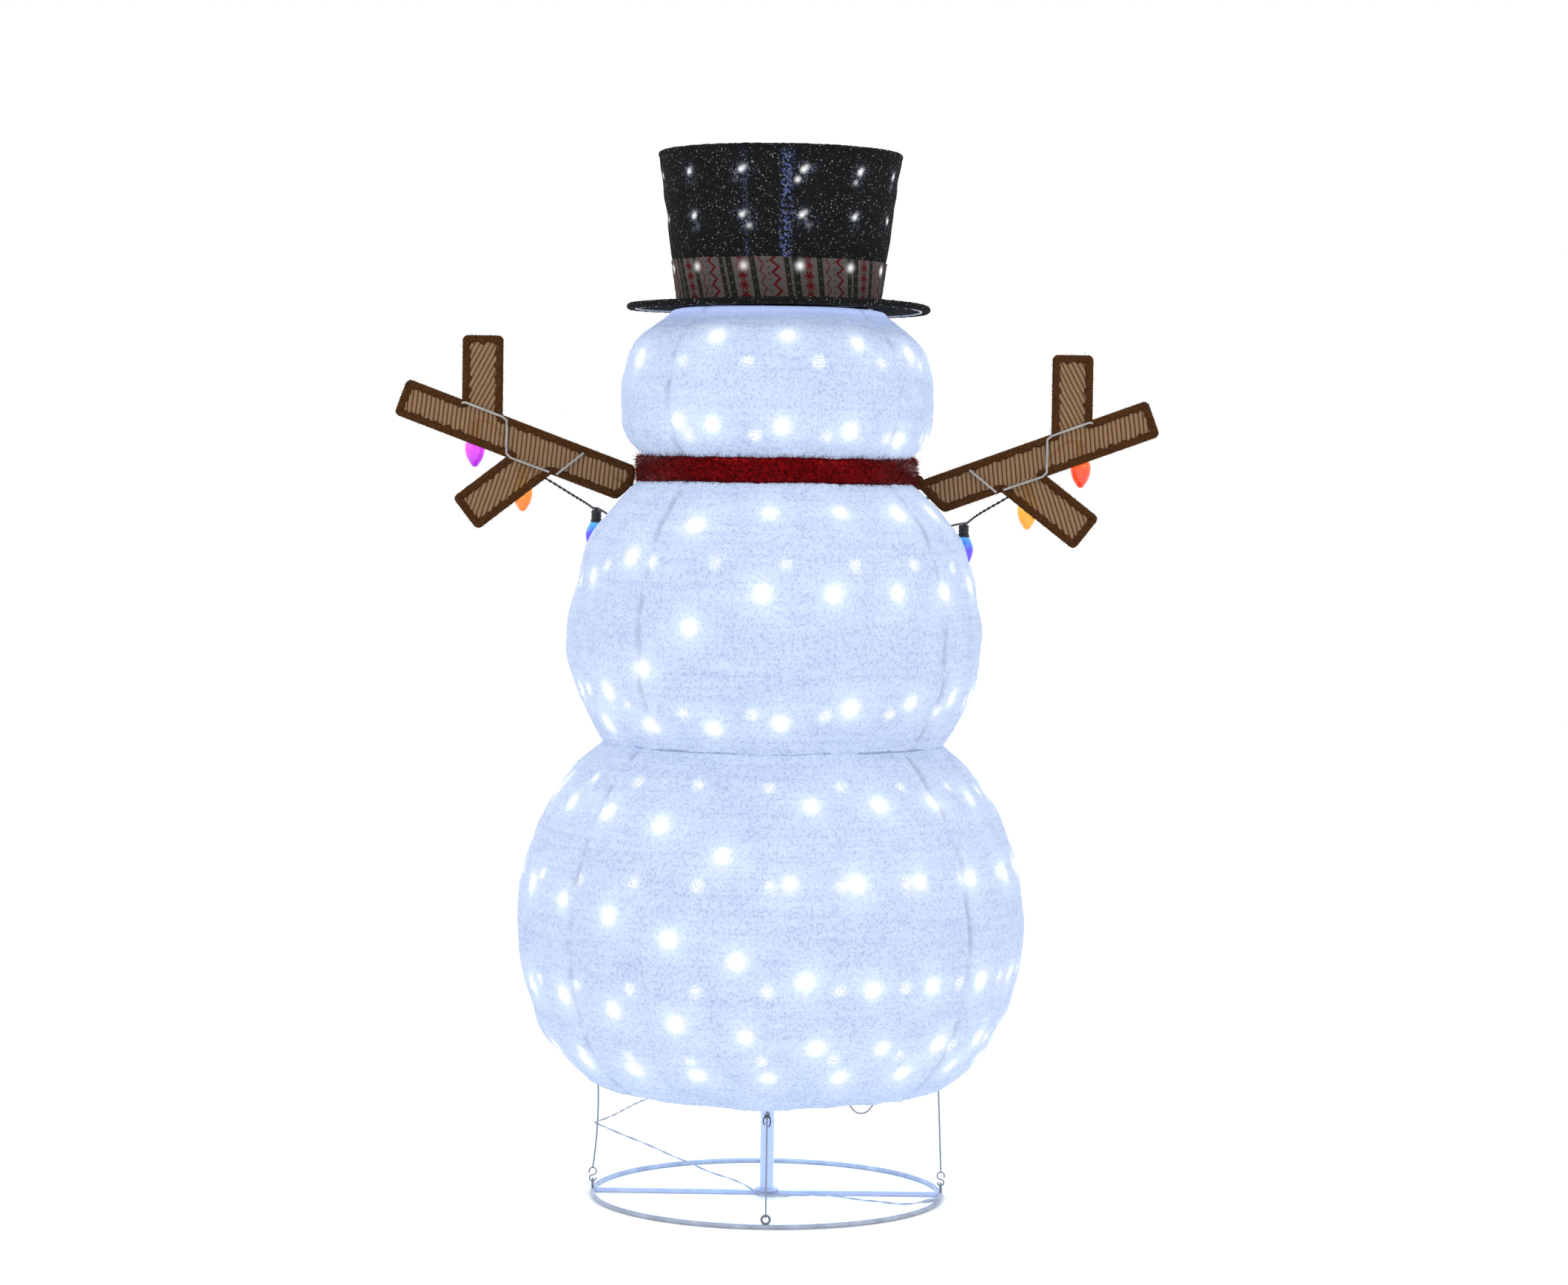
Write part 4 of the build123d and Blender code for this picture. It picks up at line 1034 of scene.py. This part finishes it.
# ---- bulbs
COLOURS = {name: bulb_material(name, *shades) for name, shades in {
    "purple": ((0.30, 0.004, 0.62), (0.78, 0.05, 0.86), (1.0, 0.28, 1.0)),
    "orange": ((0.85, 0.16, 0.005), (1.0, 0.26, 0.012), (1.0, 0.5, 0.08)),
    "red": ((0.72, 0.025, 0.003), (0.95, 0.07, 0.008), (1.0, 0.22, 0.04)),
    "amber": ((0.85, 0.3, 0.01), (1.0, 0.44, 0.02), (1.0, 0.68, 0.2)),
    "blue": ((0.09, 0.015, 0.72), (0.09, 0.05, 0.92), (0.04, 0.48, 1.0)),
    "green": ((0.01, 0.36, 0.03), (0.04, 0.66, 0.08), (0.3, 0.95, 0.3)),
}.items()}
BULB_DROP, BULB_LENGTH = 17, 48
BULB = [(8.0, 0), (11.5, -6), (14.6, -15), (15.0, -20), (13.8, -28), (11.0, -36), (7.6, -41.5), (4.6, -45.8),
        (2.2, -47.6), (0.3, -BULB_LENGTH)]
SOCKET = [(2.2, 2.0), (4.5, 1.6), (6.6, 0), (7.6, -1.2), (7.6, -4.5), (7.1, -5.2), (7.1, -6.2), (7.6, -7.0), (7.6, -10),
          (7.1, -10.8), (7.1, -11.8), (7.7, -12.6), (8.6, -16.2), (8.6, -18.4), (7.4, -18.8), (6.0, -18.4)]
PLACES = {
    "left_arm": [(-441.6, 19, 1127.7, "purple"), (-372.5, 19, 1063.8, "orange")],
    "right_arm": [(445, 19, 1109.2, "red"), (369, 19, 1047.2, "amber")],
    "swag": [(-269, 135, 1000.8, "blue"), (-194, 243.5, 964.5, "green"), (-64, 305, 940.5, "red"),
             (81, 302, 939.5, "amber"), (209, 230, 961.5, "purple"), (280, 113, 986.5, "blue")],
}
for group, places in PLACES.items():
    body = "neck" if group == "swag" else group
    caps = []
    for k, (x, y, z, colour) in enumerate(places):
        profile = smooth_line(BULB, 1.1) + [0, z - BULB_DROP]
        at, _, _ = turned(profile * MM, 36)
        lean = 0.02 * math.sin(3 * k + z)
        at[:, 0] += x * MM + lean * (at[:, 2] - z * MM)
        at[:, 1] += y * MM
        bulb = piece(f"{group}_bulb_{k}", at, grid_faces(len(profile), 36), COLOURS[colour])
        mark(bulb, "rise", np.clip(1 - ((z - BULB_DROP) * MM - at[:, 2]) / (BULB_LENGTH * MM), 0, 1))
        settle(bulb, body, "bulb", *([f"{group}_bulbs"] if k == 0 else []))
        profile = even(np.array(SOCKET, float), 0.6) + [0, z]
        at, _, _ = turned(profile * MM, 30)
        caps.append((at + [x * MM, y * MM, 0], grid_faces(len(profile), 30)))
    settle(joined(f"{group}_lampholders", caps, dark_plastic), body, "dark_plastic", f"{group}_sockets")

# ---- hat
BRIM_AXIS, HAT_BASE_Z, HAT_TOP_Z = 1300.5, 1305.5, 1524.0
HAT_BASE_RADIUS, HAT_FLARE, HAT_COLUMNS = 147.0, 30.5, 430
STRIP_BEARING, SIDE_STRIP_BEARING, STRIP_RADIUS = 3.2, -17.0, 0.165


def hat_radius(z):
    return HAT_BASE_RADIUS + HAT_FLARE * (z - HAT_BASE_Z) / (HAT_TOP_Z - HAT_BASE_Z)


hat_knit = hat_material("hat_knit")
hat_plain = hat_material("hat_plain", strip=False)
hat_lamps = lamps_of("hat_lights")
bearings = np.arctan2(hat_lamps[:, 0], -hat_lamps[:, 1])
reach = np.array([hat_radius(z / MM) * MM for z in hat_lamps[:, 2]])
hat_spots = swept(reach, bearings, hat_lamps[:, 2])
power = 0.6 + 0.4 * rng.random(len(hat_spots))
row_shift = np.where(hat_spots[:, 2:] > 1.45, [[-0.008, 0, -0.014]], [[0.011, 0, -0.015]])
glints = np.vstack([hat_spots, hat_spots + [0.005, 0, 0.004], hat_spots + row_shift])
glint_power = np.concatenate([power, 0.5 * power, 0.75 * power])

rows = np.arange(1302.8, 1521.0, 2.4)
profile = np.stack([hat_radius(rows), rows], 1) * MM
at, out, bearing = turned(profile, HAT_COLUMNS)
lift = 0.0035 * (noise3(at * [1, 1, 2], 0.06, 70) - 0.5) + 0.0006 * billow(at, 0.005, 71) - 0.0008
at = at + out * lift[:, None]
crown = piece("hat_crown_knit", at, grid_faces(len(rows), HAT_COLUMNS), hat_knit)
mark(crown, "core", glow_at(at, glints, 0.0034, 1.9 * glint_power))
mark(crown, "halo", glow_at(at * [0.55, 1, 1], glints * [0.55, 1, 1], 0.0075, glint_power))
strip = np.clip(1.3 - np.abs(off_bearing(bearing, STRIP_BEARING)) * STRIP_RADIUS / 0.0085, 0, 1)
side_strip = np.clip(1.2 - np.abs(off_bearing(bearing, SIDE_STRIP_BEARING)) * STRIP_RADIUS / 0.004, 0, 1)
mark(crown, "strip", strip + 0.35 * side_strip)
settle(crown, "hat", "hat_cloth", "hat_crown")


def knit_ring(name, profile, columns, mat, seed, slot, *replaced, warp=0.0):
    """A turned piece of the hat with a knitted surface; warp lifts and lowers its edge, in millimetres."""
    at, out, b = turned(np.array(profile, float) * MM, columns)
    at = at + out * (0.0014 * (noise3(at, 0.005, seed) - 0.4))[:, None]
    radius = np.hypot(at[:, 0], at[:, 1])
    at[:, 2] += warp * MM * np.sin(2 * b + 0.6) * (radius / radius.max()) ** 2
    obj = piece(name, at, grid_faces(len(profile), columns), mat)
    return settle(obj, "hat", slot, *replaced)


LID_RADIUS = 173.5
lid = [(0.2, HAT_TOP_Z - 6)] + [(r, HAT_TOP_Z - 6 + 1.2 * (r / 172) ** 2) for r in range(8, 169, 8)]
rim = [(LID_RADIUS + 4.2 * math.cos(t), HAT_TOP_Z - 4.4 + 4.4 * math.sin(t))
       for t in np.linspace(np.pi, -np.pi * 0.75, 18)]
knit_ring("hat_lid", lid + rim, 300, hat_plain, 72, "hat_cloth", "hat_top")
edge = [(216 + 5 * math.cos(t), BRIM_AXIS + 5 * math.sin(t)) for t in np.linspace(0.86 * np.pi, -0.86 * np.pi, 20)]
brim = [(141.5, BRIM_AXIS + 2)] + [(r, BRIM_AXIS + 2) for r in range(146, 211, 5)] + edge
brim += [(r, BRIM_AXIS - 2) for r in range(208, 145, -5)] + [(141.5, BRIM_AXIS - 2), (141.5, BRIM_AXIS + 2)]
knit_ring("hat_brim_cloth", brim, 360, hat_plain, 73, "hat_cloth", "hat_brim", warp=2.0)
piping = [(207.5 + 1.3 * math.cos(t), BRIM_AXIS - 2.6 + 1.3 * math.sin(t)) for t in np.linspace(0, 2 * np.pi, 9)]
knit_ring("hat_brim_piping", piping, 300, spring, 74, "spring_wire", warp=2.0)

# the band is woven in stripes of snow crystals, zigzags and dotted olive bars
BAND_LOW, BAND_HEIGHT, BAND_COLUMNS, REPEATS, PERIOD = BRIM_AXIS + 3, 62.0, 940, 10, 94.2
rows = np.arange(0, BAND_HEIGHT + 0.1, 1.0)
rise, spin = np.meshgrid(rows, circle(BAND_COLUMNS), indexing="ij")
rise, spin = rise.ravel(), spin.ravel()
drift = 2.4 * (noise3(np.stack([np.cos(spin), np.sin(spin), 0 * spin], 1), 0.5, 80) - 0.5)
lifted = rise + drift * (rise / BAND_HEIGHT)
crease = 1.1 * (noise3(np.stack([np.cos(spin), np.sin(spin), rise / 40], 1), 0.16, 81) - 0.5)
stand = hat_radius(BAND_LOW + rise) + 1.6 + crease
at = swept(stand, spin, BAND_LOW + lifted) * MM
across = ((spin / (2 * np.pi)) * PERIOD * REPEATS + 58.5 + 0.16 * rise) % PERIOD
WHITE, OLIVE, RED = (0.112, 0.098, 0.092), (0.017, 0.018, 0.014), (0.10, 0.005, 0.008)
dye = np.tile(WHITE, (len(at), 1))


def dotted(centre, pitch, size, shift=0.0):
    return ((across - centre) ** 2 + ((rise + shift) % pitch - pitch / 2) ** 2) < size**2


def olive_bar(low, high):
    dye[(across >= low) & (across < high)] = OLIVE
    dye[dotted((low + high) / 2, 13, 1.3, low)] = WHITE


def zigzag(centre, swing, width, shift=0.0):
    wave = centre + swing * (np.abs(((rise + shift) / 17) % 1 - 0.5) * 4 - 1)
    dye[np.abs(across - wave) < width] = RED


dye[dotted(13, 14.5, 2.1) | dotted(6.5, 14.5, 1.2, 3) | dotted(19.5, 14.5, 1.2, 3)] = RED
arm_u, arm_v = across - 13, (rise % 14.5) - 7.25
spoke = np.minimum(np.abs(arm_v), np.minimum(np.abs(0.5 * arm_v + 0.87 * arm_u), np.abs(0.5 * arm_v - 0.87 * arm_u)))
dye[(spoke < 1.5) & (np.hypot(arm_u, arm_v) < 6.8)] = RED
dye[dotted(13, 14.5, 1.4, 7.25)] = RED
olive_bar(26, 34)
zigzag(42, 3.2, 1.1)
zigzag(61, 4.8, 2.5, 3)
dye[dotted(51.5, 8.5, 1.3)] = OLIVE
olive_bar(74, 81)
dye[dotted(83, 9, 1.0)] = OLIVE
olive_bar(85, PERIOD)
band = piece("hat_band_weave", at, grid_faces(len(rows), BAND_COLUMNS), band_material())
colours = band.data.color_attributes.new("dye", "FLOAT_COLOR", "POINT")
colours.data.foreach_set("color", np.concatenate([dye, np.ones((len(dye), 1))], 1).astype(np.float32).ravel())
mark(band, "core", glow_at(at, hat_spots, 0.0055, 1.3 * power))
settle(band, "hat", "band_cloth", "hat_band")

# ---- materials of the CAD nodes that stay
STAYS = {
    "base_ring": shaded_ring_metal, "cross_bar": white_steel, "pole_socket": white_steel, "ring_eyes": zinc, "s_hooks": zinc,
    "lower_tube": mast_steel, "mid_tube": mast_steel, "upper_tube": mast_steel, "lower_collar": grip,
    "upper_collar": grip, "crown_plug": grip, "hem_hoop": spring, "waist_hoop": spring, "neck_hoop": spring,
    "crown_spider": spring, "arm_sockets": white_steel, "head_cap": lining, "hat_frame": spring,
    "hat_lights": lamp_mat, "lead_sleeve": lead_white, "lead_connector": lead_white,
}
for name, mat in STAYS.items():
    obj = nodes[name]
    obj.data.materials.clear()
    obj.data.materials.append(mat)
    obj.data.polygons.foreach_set("use_smooth", [True] * len(obj.data.polygons))

# ---- floor
floor_mat = Shade("pale_floor", 0.9, spec=0.0)
floor_mat.set(Base_Color=floor_mat.mix(floor_mat.noise(3), (0.9, 0.9, 0.9), (0.93, 0.93, 0.93)))
floor_mat.set(Emission_Color=(1.0, 1.0, 1.0), Emission_Strength=0.09)
FLOOR, FLOOR_Z = 9.0, -0.0006
corners = [(x * FLOOR, y * FLOOR, FLOOR_Z) for x, y in ((-1, -1), (1, -1), (1, 1), (-1, 1))]
floor = piece("floor", corners, [(0, 1, 2, 3)], floor_mat.mat)
